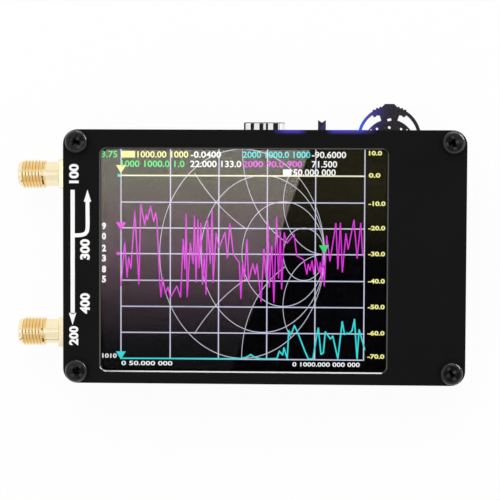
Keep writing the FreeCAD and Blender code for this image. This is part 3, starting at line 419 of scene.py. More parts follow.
def soften(thing, edge):
    """Breaks the sharp edges of a piece by that many mm."""
    bevel = thing.modifiers.new("edges", "BEVEL")
    bevel.width, bevel.segments, bevel.limit_method = edge / 1000, 2, "ANGLE"
    bevel.angle_limit = math.radians(40)


bm = bmesh.new()
plate(bm, *sheet_walls("back_panel"))
piece("back_sheet", bm, [lacquered_board("back_lacquer")], ["back_panel"])


# ---- rear screws ----
# M2.5 pan-head machine screws in black oxide, with a cross recess. They hold the back sheet to the rear
# spacers and are the feet on which the analyzer lies.

HEAD_R, HEAD_H, HEAD_ROUND = 2.4, 1.7, 0.75
SHANK_R, SHANK_LEN = 1.25, 2.9
RECESS_LEN, RECESS_W, RECESS_DEEP = 3.5, 0.84, 0.9
RECESS_TAPER = 0.12, 0.5, 1         # what is left of it at the bottom


def lathe(bm, points, steps=48, closed=False):
    """Turns a profile of (radius, height) about the vertical axis."""
    chain = [bm.verts.new((r, 0, z)) for r, z in points]
    edges = [bm.edges.new(pair) for pair in zip(chain, chain[1:] + chain[:1] * closed)]
    bmesh.ops.spin(bm, geom=chain + edges, cent=(0, 0, 0), axis=(0, 0, 1), angle=math.tau, steps=steps,
                   use_merge=True)


def block(bm, left, right, near, far, low, high):
    """A rectangular bar, to be shaped further."""
    made = bmesh.ops.create_cube(bm, size=1)["verts"]
    bmesh.ops.scale(bm, vec=(right - left, far - near, high - low), verts=made)
    bmesh.ops.translate(bm, vec=((left + right) / 2, (near + far) / 2, (low + high) / 2), verts=made)
    return made


def cut(body, tool):
    """Joins the closed shapes of a body and takes a tool's shapes out of it."""
    things = []
    for shape in (body, tool):
        bmesh.ops.remove_doubles(shape, verts=shape.verts, dist=1e-4)
        things.append(solid("cut", shape))
        things[-1].data.transform(Matrix.Scale(1000, 4))
    work = things[0].modifiers.new("cut", "BOOLEAN")
    work.object, work.solver, work.use_self = things[1], "EXACT", True
    result = bmesh.new()
    done = things[0].evaluated_get(bpy.context.evaluated_depsgraph_get())
    result.from_mesh(bpy.data.meshes.new_from_object(done))
    for thing in things:
        bpy.data.objects.remove(thing)
    return result


def add(bm, mesh, *places):
    """Puts copies of a mesh into another at each place."""
    for spot in places:
        count = len(bm.verts)
        bm.from_mesh(mesh)
        bmesh.ops.transform(bm, matrix=spot, verts=bm.verts[count:])


def make_screw():
    """An upright screw whose head has its underside at 0."""
    bm = bmesh.new()
    lathe(bm, [(0, HEAD_H), (HEAD_R, HEAD_H), (HEAD_R, 0), (SHANK_R, 0), (SHANK_R, -SHANK_LEN),
               (0, -SHANK_LEN)])
    bmesh.ops.remove_doubles(bm, verts=bm.verts, dist=1e-4)
    rim = [edge for edge in bm.edges
           if all(vert.co.z > HEAD_H / 2 and vert.co.to_2d().length > HEAD_R / 2 for vert in edge.verts)]
    bmesh.ops.bevel(bm, geom=rim, offset=HEAD_ROUND, segments=8, affect="EDGES", profile=0.5, material=-1)
    recess = bmesh.new()
    for turn in (0, 90):
        made = block(recess, -RECESS_LEN / 2, RECESS_LEN / 2, -RECESS_W / 2, RECESS_W / 2,
                     HEAD_H - RECESS_DEEP, HEAD_H + 0.15)
        bottom = [vert for vert in made if vert.co.z < HEAD_H]
        bmesh.ops.scale(recess, vec=RECESS_TAPER, verts=bottom)
        bmesh.ops.rotate(recess, matrix=Matrix.Rotation(math.radians(turn), 3, "Z"), verts=made)
    bm = cut(bm, recess)
    mesh = bpy.data.meshes.new("screw")
    bm.to_mesh(mesh)
    bm.free()
    return mesh


def black_oxide():
    """Dark steel, glossier where the head curves down."""
    finish = material("black_oxide")
    rim = finish.step(steepness(finish), 0.99, 0.94)
    colour = finish.blend(finish.noise(0.8, 4), paint(10, 10, 11), paint(34, 33, 34))
    return finish.surface(colour, 0.02 + finish.noise(0.4, 3) * 0.05, finish.noise(0.5, 3), 0.002,
                          specular=0.16, coat_weight=rim * 0.5, coat_roughness=0.03)


random.seed(7)
screw = make_screw()
screw_black = black_oxide()
seat = box_of("back_panel")[0].z
bm = bmesh.new()
add(bm, screw, *[Matrix.Translation((x, y, seat)) @ Matrix.Rotation(math.pi, 4, "X")
                 @ Matrix.Rotation(random.uniform(0, math.pi), 4, "Z") for x, y in HOLES])
piece("rear_screw_set", bm, [screw_black], ["rear_screws"])


# ---- rear spacers ----
# Hexagonal brass spacers, 4.5 mm across the flats, turned from bar. Each has a stud that passes through
# the circuit board into the spacer above it.

SPACER_FLATS, SPACER_BORE_R, SPACER_BREAK = 4.5, 1.27, 0.2
STUD_R, STUD_ROOT, STUD_TIP = 1.25, 1.2, 0.25


def turned_brass():
    finish = material("turned_brass")
    ring = finish.noise(0.06, 2, (0.1, 0.1, 1))
    tarnish = finish.noise(2.5, 3)
    colour = finish.blend(tarnish, paint(214, 178, 98), paint(182, 144, 74))
    return finish.surface(colour, 0.22 + tarnish * 0.16, ring, 0.006, metallic=1.0)


brass = turned_brass()


def spacers(bm, low, high, stud_top=None):
    """Four spacers between two heights, with a stud up to a third height if that is given."""
    for x, y in HOLES:
        plate(bm, (circle(x, y, SPACER_FLATS / math.sqrt(3), 6), broken(low, high, SPACER_BREAK)),
              (circle(x, y, SPACER_BORE_R, 24), broken(low, high, SPACER_BREAK, 1)))
        if stud_top:
            plate(bm, (circle(x, y, STUD_R, 24), [(0, high - STUD_ROOT), (0, stud_top - STUD_TIP),
                                                  (-STUD_TIP, stud_top)]))


low, high = box_of("rear_standoffs")
bm = bmesh.new()
spacers(bm, low.z, box_of("main_board")[0].z, high.z)
piece("rear_spacer_set", bm, [brass], ["rear_standoffs"])


# ---- circuit board and what is soldered to it ----
# The middle sheet carries the parts on its rear face: a tinplate shield over the signal chips, the
# processor with its crystal and small passives, and two blue lamps by the top edge.

LAMPS = (11.05, 23.1, 6.2), (23.35, 23.1, 6.2)
CHIP_LEN, CHIP_W, CHIP_PITCH = 1.0, 0.5, 1.0
TIP_LEN, TIP_PROUD = 0.22, 0.01


def dress(node, finish, edge):
    """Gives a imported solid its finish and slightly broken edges."""
    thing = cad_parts[node]
    for each in thing.material_slots:
        each.material = finish
    weld = thing.modifiers.new("weld", "WELD")
    weld.merge_threshold = 1e-6
    soften(thing, edge)


def tinplate(name, low, high, rough=0.28):
    """Bright metal with a rolled grain."""
    finish = material(name)
    grain = finish.noise(0.2, 3, (0.06, 1, 1))
    colour = finish.blend(finish.noise(3, 3), low, high)
    return finish.surface(colour, rough * (0.5 + grain), grain, rough * rough * 0.05, metallic=1.0)


def moulded(name, low, high, rough=0.45, size=0.1):
    """Moulded resin with a fine even texture."""
    finish = material(name)
    fine = finish.noise(size, 2)
    return finish.surface(finish.blend(finish.noise(2.2, 3), low, high), rough + fine * 0.12, fine, 0.008)


def blue_lamp():
    """A clear lens over a blue light, brightest in its middle."""
    finish = material("blue_lamp")
    core = finish.near(LAMPS[0], 1.1) + finish.near(LAMPS[1], 1.1)
    colour = finish.blend(finish.noise(0.4, 2), paint(215, 222, 240), paint(235, 238, 250))
    light = finish.blend(core.clamped(), paint(40, 44, 200), paint(150, 170, 255))
    return finish.surface(colour, 0.3 + finish.noise(0.2, 2) * 0.1, emission_color=light,
                          emission_strength=1.6)


tin = tinplate("tinplate", paint(186, 188, 190), paint(206, 207, 206))
chip_resin = moulded("chip_resin", paint(24, 24, 26), paint(36, 36, 38), 0.5, 0.06)
dress("main_board", lacquered_board("board_lacquer"), 0.06)
dress("shield_frame", tin, 0.05)
dress("shield_lid", tin, 0.08)
dress("crystal", tinplate("crystal_can", paint(196, 192, 182), paint(214, 210, 198), 0.12),
      0.15)
dress("signal_chips", chip_resin, 0.06)
dress("processor", chip_resin, 0.05)
dress("status_leds", blue_lamp(), 0.06)

ceramic = material("chip_ceramic")
ceramic = ceramic.surface(ceramic.blend(ceramic.noise(0.9, 2), paint(126, 104, 78), paint(160, 134, 100)),
                          0.35 + ceramic.noise(0.1, 2) * 0.15, ceramic.noise(0.08, 2), 0.004)
low, high = box_of("passives")
bm = bmesh.new()
for x in (0.25, -1.75, 16.95, 18.95):
    for row in range(4):
        near, far = low.y + row * CHIP_PITCH, low.y + row * CHIP_PITCH + CHIP_W
        block(bm, x - CHIP_LEN / 2, x + CHIP_LEN / 2, near, far, low.z, high.z)
        for end in (-1, 1):
            middle = x + end * ((CHIP_LEN - TIP_LEN) / 2 + TIP_PROUD)
            tip = block(bm, middle - TIP_LEN / 2, middle + TIP_LEN / 2, near - TIP_PROUD, far + TIP_PROUD,
                        low.z, high.z)
            for face in {face for vert in tip for face in vert.link_faces}:
                face.material_index = 1
piece("passive_set", bm, [ceramic, tin], ["passives"], edge=0.03)


# ---- battery and its leads ----
# A flat lithium pouch in aluminium foil, stuck to the board with foam tape. Its tabs lie under an amber
# film, and a red and a black silicone lead run to a small plug in a cream header.


def pouch_foil():
    finish = material("pouch_foil")
    crease = finish.noise(4.5, 4, (1, 1.6, 1))
    colour = finish.blend(crease, paint(172, 174, 178), paint(200, 201, 203))
    return finish.surface(colour, 0.28 + finish.noise(0.8, 3) * 0.14, crease + finish.noise(1.1, 2) * 0.3,
                          0.12, metallic=1.0)


def polyimide():
    finish = material("amber_film")
    wave = finish.noise(1.6, 3)
    return finish.surface(finish.blend(wave, paint(168, 96, 22), paint(206, 134, 38)), 0.2 + wave * 0.12,
                          wave, 0.02, coat_weight=0.4)


def foam(name, low, high):
    finish = material(name)
    cells = finish.node("ShaderNodeTexVoronoi", {}, {"Vector": finish.place, "Scale": 6.0})
    return finish.surface(finish.blend(cells, low, high), 0.85 - cells * 0.1, cells, 0.04)


def silicone(name, low, high):
    finish = material(name)
    dust = finish.noise(0.35, 3)
    return finish.surface(finish.blend(dust, low, high), 0.38 + dust * 0.15, finish.noise(0.12, 2), 0.005)


amber_film = polyimide()
dress("battery_cell", pouch_foil(), 0.1)
dress("battery_guard", amber_film, 0.15)
dress("battery_tape", foam("battery_foam", paint(188, 188, 184), paint(214, 214, 210)), 0.04)
cream = moulded("cream_nylon", paint(222, 214, 192), paint(234, 228, 208), 0.4)
dress("battery_header", cream, 0.12)
dress("battery_plug", cream, 0.12)


def add_curve(bm, points, radius, spot):
    """Lays a smooth round line along points and puts it in a mesh."""
    data = bpy.data.curves.new("line", "CURVE")
    data.dimensions, data.fill_mode, data.use_fill_caps = "3D", "FULL", True
    data.bevel_depth, data.bevel_resolution, data.resolution_u = radius, 3, 8
    spline = data.splines.new("NURBS")
    spline.points.add(len(points) - 1)
    for knot, point in zip(spline.points, points):
        knot.co = (*point, 1)
    spline.order_u, spline.use_endpoint_u = 3, True
    add_shape(bm, data, spot)


def add_shape(bm, data, spot):
    """Puts what a curve or a text draws in a mesh."""
    thing = bpy.data.objects.new("shape", data)
    scene.collection.objects.link(thing)
    drawn = thing.evaluated_get(bpy.context.evaluated_depsgraph_get())
    mesh = bpy.data.meshes.new_from_object(drawn)
    bpy.data.objects.remove(thing)
    add(bm, mesh, spot)


LEAD_R, LEAD_BEND, LEAD_STRAIGHT_Y, LEAD_INTO = 0.35, 2.6, 1.5, 0.05
for name, finish in (
        ("red", silicone("red_silicone", paint(178, 24, 22), paint(206, 38, 32))),
        ("black", silicone("black_silicone", paint(22, 22, 24), paint(36, 36, 38)))):
    low, high = box_of(f"lead_{name}")
    x, y, z = high.x - LEAD_R, low.y + LEAD_R, low.z + LEAD_R
    route = [(low.x - LEAD_INTO, y), (x - LEAD_BEND, y), (x, y), (x, y + LEAD_BEND), (x, LEAD_STRAIGHT_Y),
             (x, high.y + LEAD_INTO)]
    bm = bmesh.new()
    add_curve(bm, [(*spot, z) for spot in route], LEAD_R, Matrix())
    piece(f"lead_{name}_wire", bm, [finish], [f"lead_{name}"])


# ---- coaxial ports ----
# Two threaded coaxial sockets of gold-plated brass, soldered to the edge of the board by four legs. Each
# has a square flange, a plain neck, a fine outer thread, and a white insulator round its contact.

FLANGE_W, FLANGE_DEEP, MOUTH_R, TIP = 6.35, 1.6, 2.3, 10.5
BORE_R, NECK_R, CORE_R, THREAD_R = 2.05, 2.65, 2.72, 3.125
THREAD_LOW, THREAD_HIGH = 4.9, 9.5
PITCH, TURNS, TURN_STEPS = 25.4 / 36, 8, 40


def gold_plate(name, axis=None):
    """Bright gold, with painted shade in the thread of the port whose axis lies at that y and z, on the sides
    away from its top.
    """
    finish = material(name)
    haze = finish.noise(1.4, 3)
    marks = finish.noise(0.05, 2, (1, 0.1, 0.1))
    colour = finish.blend(haze, paint(251, 240, 208), paint(246, 230, 188))
    if axis:
        # painted shade: a deeper gold in the thread's grooves on the sides, not on the top
        across, up = finish.y - axis[0], finish.z - axis[1]
        groove = finish.step((across * across + up * up) ** 0.5, 3.2, 2.8)
        shaded_sides = finish.step(abs(across - 0.2), 0.5, 0.9)
        along = finish.step(finish.x, -41.8, -42.2) * finish.step(finish.x, -47.2, -46.8)
        colour = finish.blend(groove * shaded_sides * along, colour, paint(238, 206, 140))
    return finish.surface(colour, 0.06 + haze * 0.07, marks, 0.002, metallic=1.0)


def fluoropolymer():
    finish = material("white_fluoropolymer")
    cloud = finish.noise(1.0, 3)
    return finish.surface(finish.blend(cloud, paint(232, 232, 226), paint(242, 242, 238)),
                          0.32 + cloud * 0.1, finish.noise(0.1, 2), 0.004)


gold = gold_plate("gold_plate")
white_insulator = fluoropolymer()


def port_body():
    """A port that stands on its flange, its mouth up."""
    bm = bmesh.new()
    plate(bm, (rounded(0, 0, FLANGE_W, FLANGE_W, 0.25), broken(0, FLANGE_DEEP, 0.12)),
          (circle(0, 0, BORE_R, 48), [(0, 0), (0, FLANGE_DEEP)]))
    lathe(bm, [(BORE_R, 0.6), (NECK_R, 0.6), (NECK_R, THREAD_LOW), (CORE_R, 4.96), (CORE_R, 9.45),
               (NECK_R, 9.6), (NECK_R, 10.3), (2.45, TIP), (MOUTH_R, TIP), (MOUTH_R, 8.6), (BORE_R, 8.6)],
          64, True)
    for x in (-0.27, 2.23):
        for y in (-2.625, 2.625):
            block(bm, x - 0.65, x + 0.65, y - 0.55, y + 0.55, -3.8, 0.4)
    count = len(bm.verts)
    ridge = (2.6, 4.3), (THREAD_R, 4.56), (THREAD_R, 4.66), (2.6, 4.92)
    start = [bm.verts.new((r, 0, z)) for r, z in ridge]
    ring = [bm.edges.new(pair) for pair in zip(start, start[1:] + start[:1])]
    bmesh.ops.spin(bm, geom=start + ring, cent=(0, 0, 0), axis=(0, 0, 1), angle=math.tau * TURNS,
                   steps=TURN_STEPS * TURNS, dvec=(0, 0, PITCH / TURN_STEPS))
    for height, above in ((THREAD_LOW, False), (THREAD_HIGH, True)):
        bm.verts.ensure_lookup_table()
        thread = bm.verts[count:]
        parts = thread + list({edge for vert in thread for edge in vert.link_edges}) + list(
            {face for vert in thread for face in vert.link_faces})
        bmesh.ops.bisect_plane(bm, geom=parts, plane_co=(0, 0, height), plane_no=(0, 0, 1),
                               clear_outer=above, clear_inner=not above)
    bmesh.ops.holes_fill(bm, edges=[edge for edge in bm.edges if edge.is_boundary], sides=0)
    mesh = bpy.data.meshes.new("port")
    bm.to_mesh(mesh)
    bm.free()
    return mesh


port = port_body()
for number in (1, 2):
    low, high = box_of(f"port_{number}_shell")
    y, z = ((low + high) / 2).yz
    facing_left = Matrix.Translation((low.x + TIP, y, z)) @ Matrix.Rotation(-math.pi / 2, 4, "Y")
    # each port's gold has painted shade in its thread
    plating = gold_plate(f"port_{number}_gold", (y, z))
    bm = bmesh.new()
    add(bm, port, facing_left)
    piece(f"port_{number}_body", bm, [plating], [f"port_{number}_shell"])
    bm = bmesh.new()
    lathe(bm, [(0, -3.3), (0.3, -3.3), (0.38, -3.2), (0.38, 0), (0.635, 0), (0.635, 8.5), (0.56, 8.6),
               (0.42, 8.6), (0.36, 8.5), (0.36, 6.9), (0, 6.7)], 32)
    bmesh.ops.transform(bm, matrix=facing_left, verts=bm.verts)
    piece(f"port_{number}_pin", bm, [gold], [f"port_{number}_contact"])
    dress(f"port_{number}_insulator", white_insulator, 0.05)


# ---- USB-C socket ----
# A shell of bright plated steel, rolled up from strip so that a seam runs along it, with four tabs through
# the board. The black tongue inside carries two rows of gold contacts.

SHELL_W, SHELL_H, SHELL_DEEP, SHELL_WALL = 8.94, 3.26, 7.35, 0.31


def stadium(w, h):
    """An outline with half-round ends."""
    return rounded(0, 0, w, h, h / 2 - 1e-3)


def bright_steel():
    """Mirror-bright plate, dull along the cut edge of the mouth."""
    finish = material("bright_steel")
    plating = finish.blend(finish.noise(3, 3), paint(228, 229, 231), paint(238, 238, 239))
    lip = finish.step(finish.y, 25.68, 25.76)
    grain = finish.noise(0.2, 3, (0.06, 1, 1))
    colour = finish.blend(lip, plating, paint(70, 70, 72))
    return finish.surface(colour, 0.006 + grain * 0.012 + lip * 0.3, grain, 0.00001, metallic=1.0)


low, high = box_of("usb_shell")
usb_x, usb_z = (low.x + high.x) / 2, low.z + SHELL_H / 2
bm = bmesh.new()
plate(bm, (stadium(SHELL_W, SHELL_H), [(0, 0), (0, SHELL_DEEP - 0.12), (-0.1, SHELL_DEEP)]),
      (stadium(SHELL_W - 2 * SHELL_WALL, SHELL_H - 2 * SHELL_WALL),
       [(0, 0), (0, SHELL_DEEP - 0.2), (0.1, SHELL_DEEP)]))
seam = bmesh.new()
block(seam, -0.16, 0.16, 1.55, 2.0, -1, 9)
bm = cut(bm, seam)
facing_back = Matrix.Rotation(-math.pi / 2, 4, "X") @ Matrix.Rotation(math.pi, 4, "Z")
bmesh.ops.transform(bm, matrix=Matrix.Translation((usb_x, high.y - SHELL_DEEP, usb_z)) @ facing_back,
                    verts=bm.verts)
for side in (-1, 1):
    x = usb_x + side * (SHELL_W - SHELL_WALL) / 2
    for y in (22.4, 18.2):
        block(bm, x - SHELL_WALL / 2, x + SHELL_WALL / 2, y - 0.55, y + 0.55, usb_z, high.z)
piece("usb_sleeve", bm, [bright_steel()], ["usb_shell"])
black_resin = moulded("black_resin", paint(20, 20, 22), paint(30, 30, 32))
dress("usb_insulator", black_resin, 0.05)
dress("usb_contacts", gold, 0.01)


# ---- slide switch ----
# A small power switch: a folded steel case round a black base, and a lever with a notched tip that slides
# 2 mm to the left in the case's slot.


def lever_resin_with_painted_light(name, reach, near_lamp_colour):
    """Dark resin with painted blue light on the side of the nearer lamp, and painted shade near the jog's
    hub.
    """
    finish = material(name)
    fine = finish.noise(0.1, 2)
    mottle = finish.step(finish.noise(0.3, 3, (1, 0.5, 1)), 0.3, 0.7)
    colour = finish.blend(mottle, paint(24, 21, 27), paint(56, 51, 61))
    # painted lamp light: it falls off from the nearer lamp and fades out along x
    fade = finish.step(finish.x, 33.0, 26.0)
    light = finish.near((*LAMPS[1][:2], 5.2), reach) * fade * fade
    # painted shade: the painted light is taken away near the jog's hub
    light = light * (1 - finish.near((32.0, 21.1, 4.6), 7.0) * 1.7).clamped()
    painted_light_colour = finish.blend(finish.step(finish.x, 25.5, 28), near_lamp_colour, paint(106, 86, 250))
    return finish.surface(colour, 0.42 + fine * 0.15, fine, 0.01, specular=0.15,
                          emission_color=finish.blend(light, (0, 0, 0, 1), painted_light_colour), emission_strength=1.0)


case_steel = tinplate("case_steel", paint(178, 178, 176), paint(200, 200, 196))
dress("slide_switch_case", case_steel, 0.1)
dress("slide_switch_base", black_resin, 0.05)
# the switch lever's resin carries painted blue light from the nearer lamp
dress("slide_switch_lever", lever_resin_with_painted_light("switch_lever_resin", 7.0, paint(90, 60, 200)), 0.08)
dress("slide_switch_terminals", tin, 0.03)


# ---- jog switch and its lever ----
# A black lever with a ridged thumb rim rocks on a pin and is pressed in against a leaf spring. It is one
# moulding: a hub plate with small holes, a waisted neck, and a thin rim that springs from a solid grip.

dress("jog_base", black_resin, 0.08)
dress("jog_cover", case_steel, 0.08)
dress("jog_carrier", black_resin, 0.06)
dress("jog_spring", tinplate("spring_steel", paint(190, 190, 188), paint(206, 206, 202), 0.12),
      0.02)
dress("jog_terminals", tin, 0.03)

JOG_X, PIVOT_Y, RIM_Y = 32.0, 21.1, 22.6
JOG_LOW, JOG_HIGH = 3.88, 5.38
HUB_R, RIM_IN, RIM_OUT, RIM_EASE = 5.6, 6.2, 6.85, 0.06
GRIP_R, GRIP_FROM, RIDGE_R = 6.8, 27.55, 6.82


def raise_up(bm, faces, by):
    """Gives flat faces a thickness."""
    top = bmesh.ops.extrude_face_region(bm, geom=faces)["geom"]
    lifted = [part for part in top if isinstance(part, bmesh.types.BMVert)]
    bmesh.ops.translate(bm, vec=(0, 0, by), verts=lifted)


# the hub, and the rim as a section swept over 164 degrees
bm = bmesh.new()
plate(bm, (circle(JOG_X, PIVOT_Y, HUB_R, 96), broken(JOG_LOW, JOG_HIGH, 0.12)))
section = [bm.verts.new((JOG_X + r, RIM_Y, z)) for r, z in (
    (RIM_IN + RIM_EASE, JOG_LOW), (RIM_OUT - RIM_EASE, JOG_LOW), (RIM_OUT, JOG_LOW + 0.08),
    (RIM_OUT, JOG_HIGH - 0.08), (RIM_OUT - RIM_EASE, JOG_HIGH), (RIM_IN + RIM_EASE, JOG_HIGH),
    (RIM_IN, JOG_HIGH - 0.08), (RIM_IN, JOG_LOW + 0.08))]
bmesh.ops.rotate(bm, cent=(JOG_X, RIM_Y, 0), matrix=Matrix.Rotation(math.radians(8), 3, "Z"), verts=section)
end = bm.faces.new(section)
bmesh.ops.spin(bm, geom=[end, *end.edges, *section], cent=(JOG_X, RIM_Y, 0), axis=(0, 0, 1),
               angle=math.radians(164), steps=56)

# the grip, a slice of a disc
before = set(bm.faces)
grip = bmesh.ops.create_circle(bm, cap_ends=True, radius=GRIP_R, segments=96)["verts"]
bmesh.ops.translate(bm, vec=(JOG_X, RIM_Y, JOG_LOW), verts=grip)
disc = grip[0].link_faces[0]
bmesh.ops.bisect_plane(bm, geom=[disc, *disc.edges, *disc.verts], plane_co=(0, GRIP_FROM, 0),
                       plane_no=(0, 1, 0), clear_inner=True)
raise_up(bm, [face for face in bm.faces if face not in before], JOG_HIGH - JOG_LOW)

# its nose and the neck, both wider at one end, the ridges, and two round studs beside the neck
for low_y, high_y, low_w, high_w in ((28.9, 30.0, 4.1, 2.0), (26.2, 27.8, 3.3, 4.3)):
    made = block(bm, -0.5, 0.5, low_y, high_y, JOG_LOW, JOG_HIGH)
    for vert in made:
        vert.co.x *= low_w if vert.co.y < (low_y + high_y) / 2 else high_w
    bmesh.ops.translate(bm, vec=(JOG_X, 0, 0), verts=made)
for degrees in (60.5, 67, 73.5, 119.5, 113, 106.5):
    turn = math.radians(degrees)
    plate(bm, (circle(JOG_X + RIDGE_R * math.cos(turn), RIM_Y + RIDGE_R * math.sin(turn), 0.28, 12),
               broken(JOG_LOW, JOG_HIGH, 0.06)))
for x in (-3.15, 3.15):
    plate(bm, (circle(JOG_X + x, 27.62, 0.42, 16), broken(JOG_LOW, JOG_HIGH, 0.08)))

# the pin's hole, five small holes and a slot, all through
holes = bmesh.new()
for x, y, r in ((0, PIVOT_Y, 1.05), (0, 24.95, 0.32), (-2.65, 24.65, 0.28), (2.55, 24.62, 0.28),
                (-3.95, 24.4, 0.2), (3.85, 24.4, 0.22)):
    plate(holes, (circle(JOG_X + x, y, r, 24), [(0, 3), (0, 6)]))
made = block(holes, -0.45, 0.45, 26.35, 26.9, 3, 6)
bmesh.ops.rotate(holes, cent=(0, 26.6, 0), matrix=Matrix.Rotation(math.radians(14), 3, "Z"), verts=made)
bmesh.ops.translate(holes, vec=(JOG_X, 0, 0), verts=made)
# the jog lever's resin carries painted blue light from the nearer lamp, with painted shade near its hub
jog_resin_with_painted_light = lever_resin_with_painted_light("jog_lever_resin", 16.0, paint(14, 98, 240))
piece("jog_thumb_lever", cut(bm, holes), [jog_resin_with_painted_light], ["jog_lever"], "jog_rocker")


# ---- display ----
# A colour liquid-crystal panel in a thin steel tray on foam tape, with its light guide below and a flat
# amber cable folded down to the board. A sheet of clear touch glass lies on it.

dress("lcd_tape", foam("display_foam", paint(40, 40, 42), paint(60, 60, 62)), 0.04)
dress("lcd_tray", case_steel, 0.08)
dress("backlight", moulded("light_guide", paint(226, 230, 232), paint(240, 242, 242), 0.12, 0.3),
      0.04)


def display_black():
    """Polished black glass with a painted reflection of the pale window overhead along its left edge,
    stronger towards the top.
    """
    finish = material("display_black")
    # painted reflection: pale emission along the left edge, stronger towards the top
    edge = finish.step(finish.x, -29.1, -29.35)
    painted_window_reflection = finish.node("ShaderNodeValToRGB", {"stops": [
        (0.0, paint(4, 4, 4)), (0.22, paint(50, 38, 37)), (0.56, paint(96, 88, 86)),
        (1.0, paint(120, 113, 102))]}, {0: finish.step(finish.y, -21, 16)})
    colour = finish.blend(finish.noise(5), paint(3, 3, 4), paint(6, 6, 9))
    return finish.surface(colour, finish.noise(8) * 0.008, specular=0.5,
                          emission_color=finish.blend(edge, (0, 0, 0, 1), painted_window_reflection), emission_strength=1.0)


dress("lcd_cell", display_black(), 0.04)
dress("lcd_flex", amber_film, 0.02)


def touch_glass():
    """Clear glass, coated so that it hardly mirrors; the polished screen under it does."""
    finish = material("touch_glass")
    smear = finish.noise(7, 4, (1, 0.6, 1))
    return finish.surface(finish.blend(smear, paint(250, 252, 252), paint(254, 254, 254)), 0.0,
                          transmission_weight=1.0, ior=1.001)


GLASS_LOW = 10.57
low, high = box_of("touch_panel")
middle, size = (low + high) / 2, high - low
bm = bmesh.new()
plate(bm, (rounded(middle.x, middle.y, size.x, size.y, 0.6), broken(GLASS_LOW, high.z, 0.12)))
piece("touch_glass_sheet", bm, [touch_glass()], ["touch_panel"])


# ---- picture on the display ----
# What the analyzer draws while it sweeps: a ruled frame, a round impedance chart, two traces, four
# pointers, and lines of plain figures. It shines through the touch glass.

random.seed(21)


def shining(name, red, green, blue):
    """Light from coloured cells, a little uneven."""
    finish = material(name)
    full = paint(red, green, blue)
    dim = tuple(part * 0.8 for part in full[:3]) + (1,)
    light = finish.blend(finish.noise(0.5, 2), dim, full)
    return finish.surface(paint(6, 6, 8), finish.noise(8) * 0.008, specular=0.5, emission_color=light,
                          emission_strength=1.0)


PEN, LAYER_Z, LAYER_STEP = 0.012, 10.508, 0.007
COLOURS = {"ruling": (210, 212, 238), "chart": (212, 212, 230), "magenta": (228, 58, 226),
           "cyan": (60, 226, 228), "yellow": (255, 252, 160), "green": (60, 232, 120),
           "white": (255, 255, 255), "pale": (255, 252, 214)}
layers = {name: bmesh.new() for name in COLOURS}


def write(bm, text, left, right, y, height, weight=0.02, quarter=False):
    """Figures fitted between two ends on a line, or turned to read upwards."""
    data = bpy.data.curves.new("figures", "FONT")
    data.body, data.extrude, data.offset = text, 0.5, weight
    data.resolution_u = 3
    made = bmesh.new()
    add_shape(made, data, Matrix())
    xs, ys = [vert.co.x for vert in made.verts], [vert.co.y for vert in made.verts]
    bmesh.ops.translate(made, vec=(-(min(xs) + max(xs)) / 2, -(min(ys) + max(ys)) / 2, 0), verts=made.verts)
    bmesh.ops.scale(made, vec=((right - left) / (max(xs) - min(xs)), height / (max(ys) - min(ys)), PEN),
                    verts=made.verts)
    if quarter:
        bmesh.ops.rotate(made, matrix=Matrix.Rotation(math.pi / 2, 3, "Z"), verts=made.verts)
    bmesh.ops.translate(made, vec=((left + right) / 2, y, 0), verts=made.verts)
    mesh = bpy.data.meshes.new("figures")
    made.to_mesh(mesh)
    made.free()
    add(bm, mesh, Matrix())


def bar(bm, left, right, low, high):
    block(bm, left, right, low, high, -PEN / 2, PEN / 2)


def trace(bm, points, width):
    """Joins points with straight strokes."""
    for start, end in zip(points, points[1:]):
        run = Vector(end) - Vector(start)
        made = block(bm, -width / 3, run.length + width / 3, -width / 2, width / 2, -PEN / 2, PEN / 2)
        turn = Matrix.Rotation(math.atan2(run.y, run.x), 3, "Z")
        bmesh.ops.rotate(bm, matrix=turn, verts=made)
        bmesh.ops.translate(bm, vec=(*start, 0), verts=made)


GRID_LEFT, GRID_RIGHT, HALF_RULE = -25.39, 26.59, 0.12
for x in (GRID_LEFT, -14.81, -4.45, 5.89, 16.16, GRID_RIGHT):
    bar(layers["ruling"], x - HALF_RULE, x + HALF_RULE, -24.98, 19.93)
for y in (8.6, 3.1, -2.4, -8.1, -13.7, -19.3, -24.9):
    bar(layers["ruling"], GRID_LEFT, GRID_RIGHT, y - HALF_RULE, y + HALF_RULE)

CHART_X, CHART_Y, CHART_R, CHART_HALF_H = 0.53, -2.36, 17.6, 22.33
HALF_HAIR = 0.06
chart = layers["chart"]


def hoop(x, y, r, clear=0):
    """A flat ring, kept only inside the chart and outside the inner circle that stays clear of it."""
    made = bmesh.ops.create_circle(chart, radius=r - HALF_HAIR, segments=256)["verts"]
    edges = list({edge for vert in made for edge in vert.link_edges})
    wider = [part for part in bmesh.ops.extrude_edge_only(chart, edges=edges)["geom"]
             if isinstance(part, bmesh.types.BMVert)]
    growth = (r + HALF_HAIR) / (r - HALF_HAIR)
    bmesh.ops.scale(chart, vec=(growth, growth, 1), verts=wider)
    made += wider
    bmesh.ops.translate(chart, vec=(x, y, 0), verts=made)
    inner = Vector((CHART_R * (1 - clear), 0, 0))
    outside = [vert for vert in made if vert.co.length > CHART_R + HALF_HAIR + 1e-3
               or (vert.co - inner).length < CHART_R * clear]
    bmesh.ops.delete(chart, geom=outside, context="VERTS")


for share in (1, 0.75, 0.5, 0.25):
    hoop(CHART_R * (1 - share), 0, CHART_R * share)
for share, clear in ((0.5, 0), (1, 0.25), (2, 0.5)):
    for side in (-1, 1):
        hoop(CHART_R, side * CHART_R * share, CHART_R * share, clear)
raise_up(chart, chart.faces[:], PEN)
bmesh.ops.scale(chart, vec=(1, CHART_HALF_H / CHART_R, 1), verts=chart.verts)
bmesh.ops.translate(chart, vec=(CHART_X, CHART_Y, 0), verts=chart.verts)

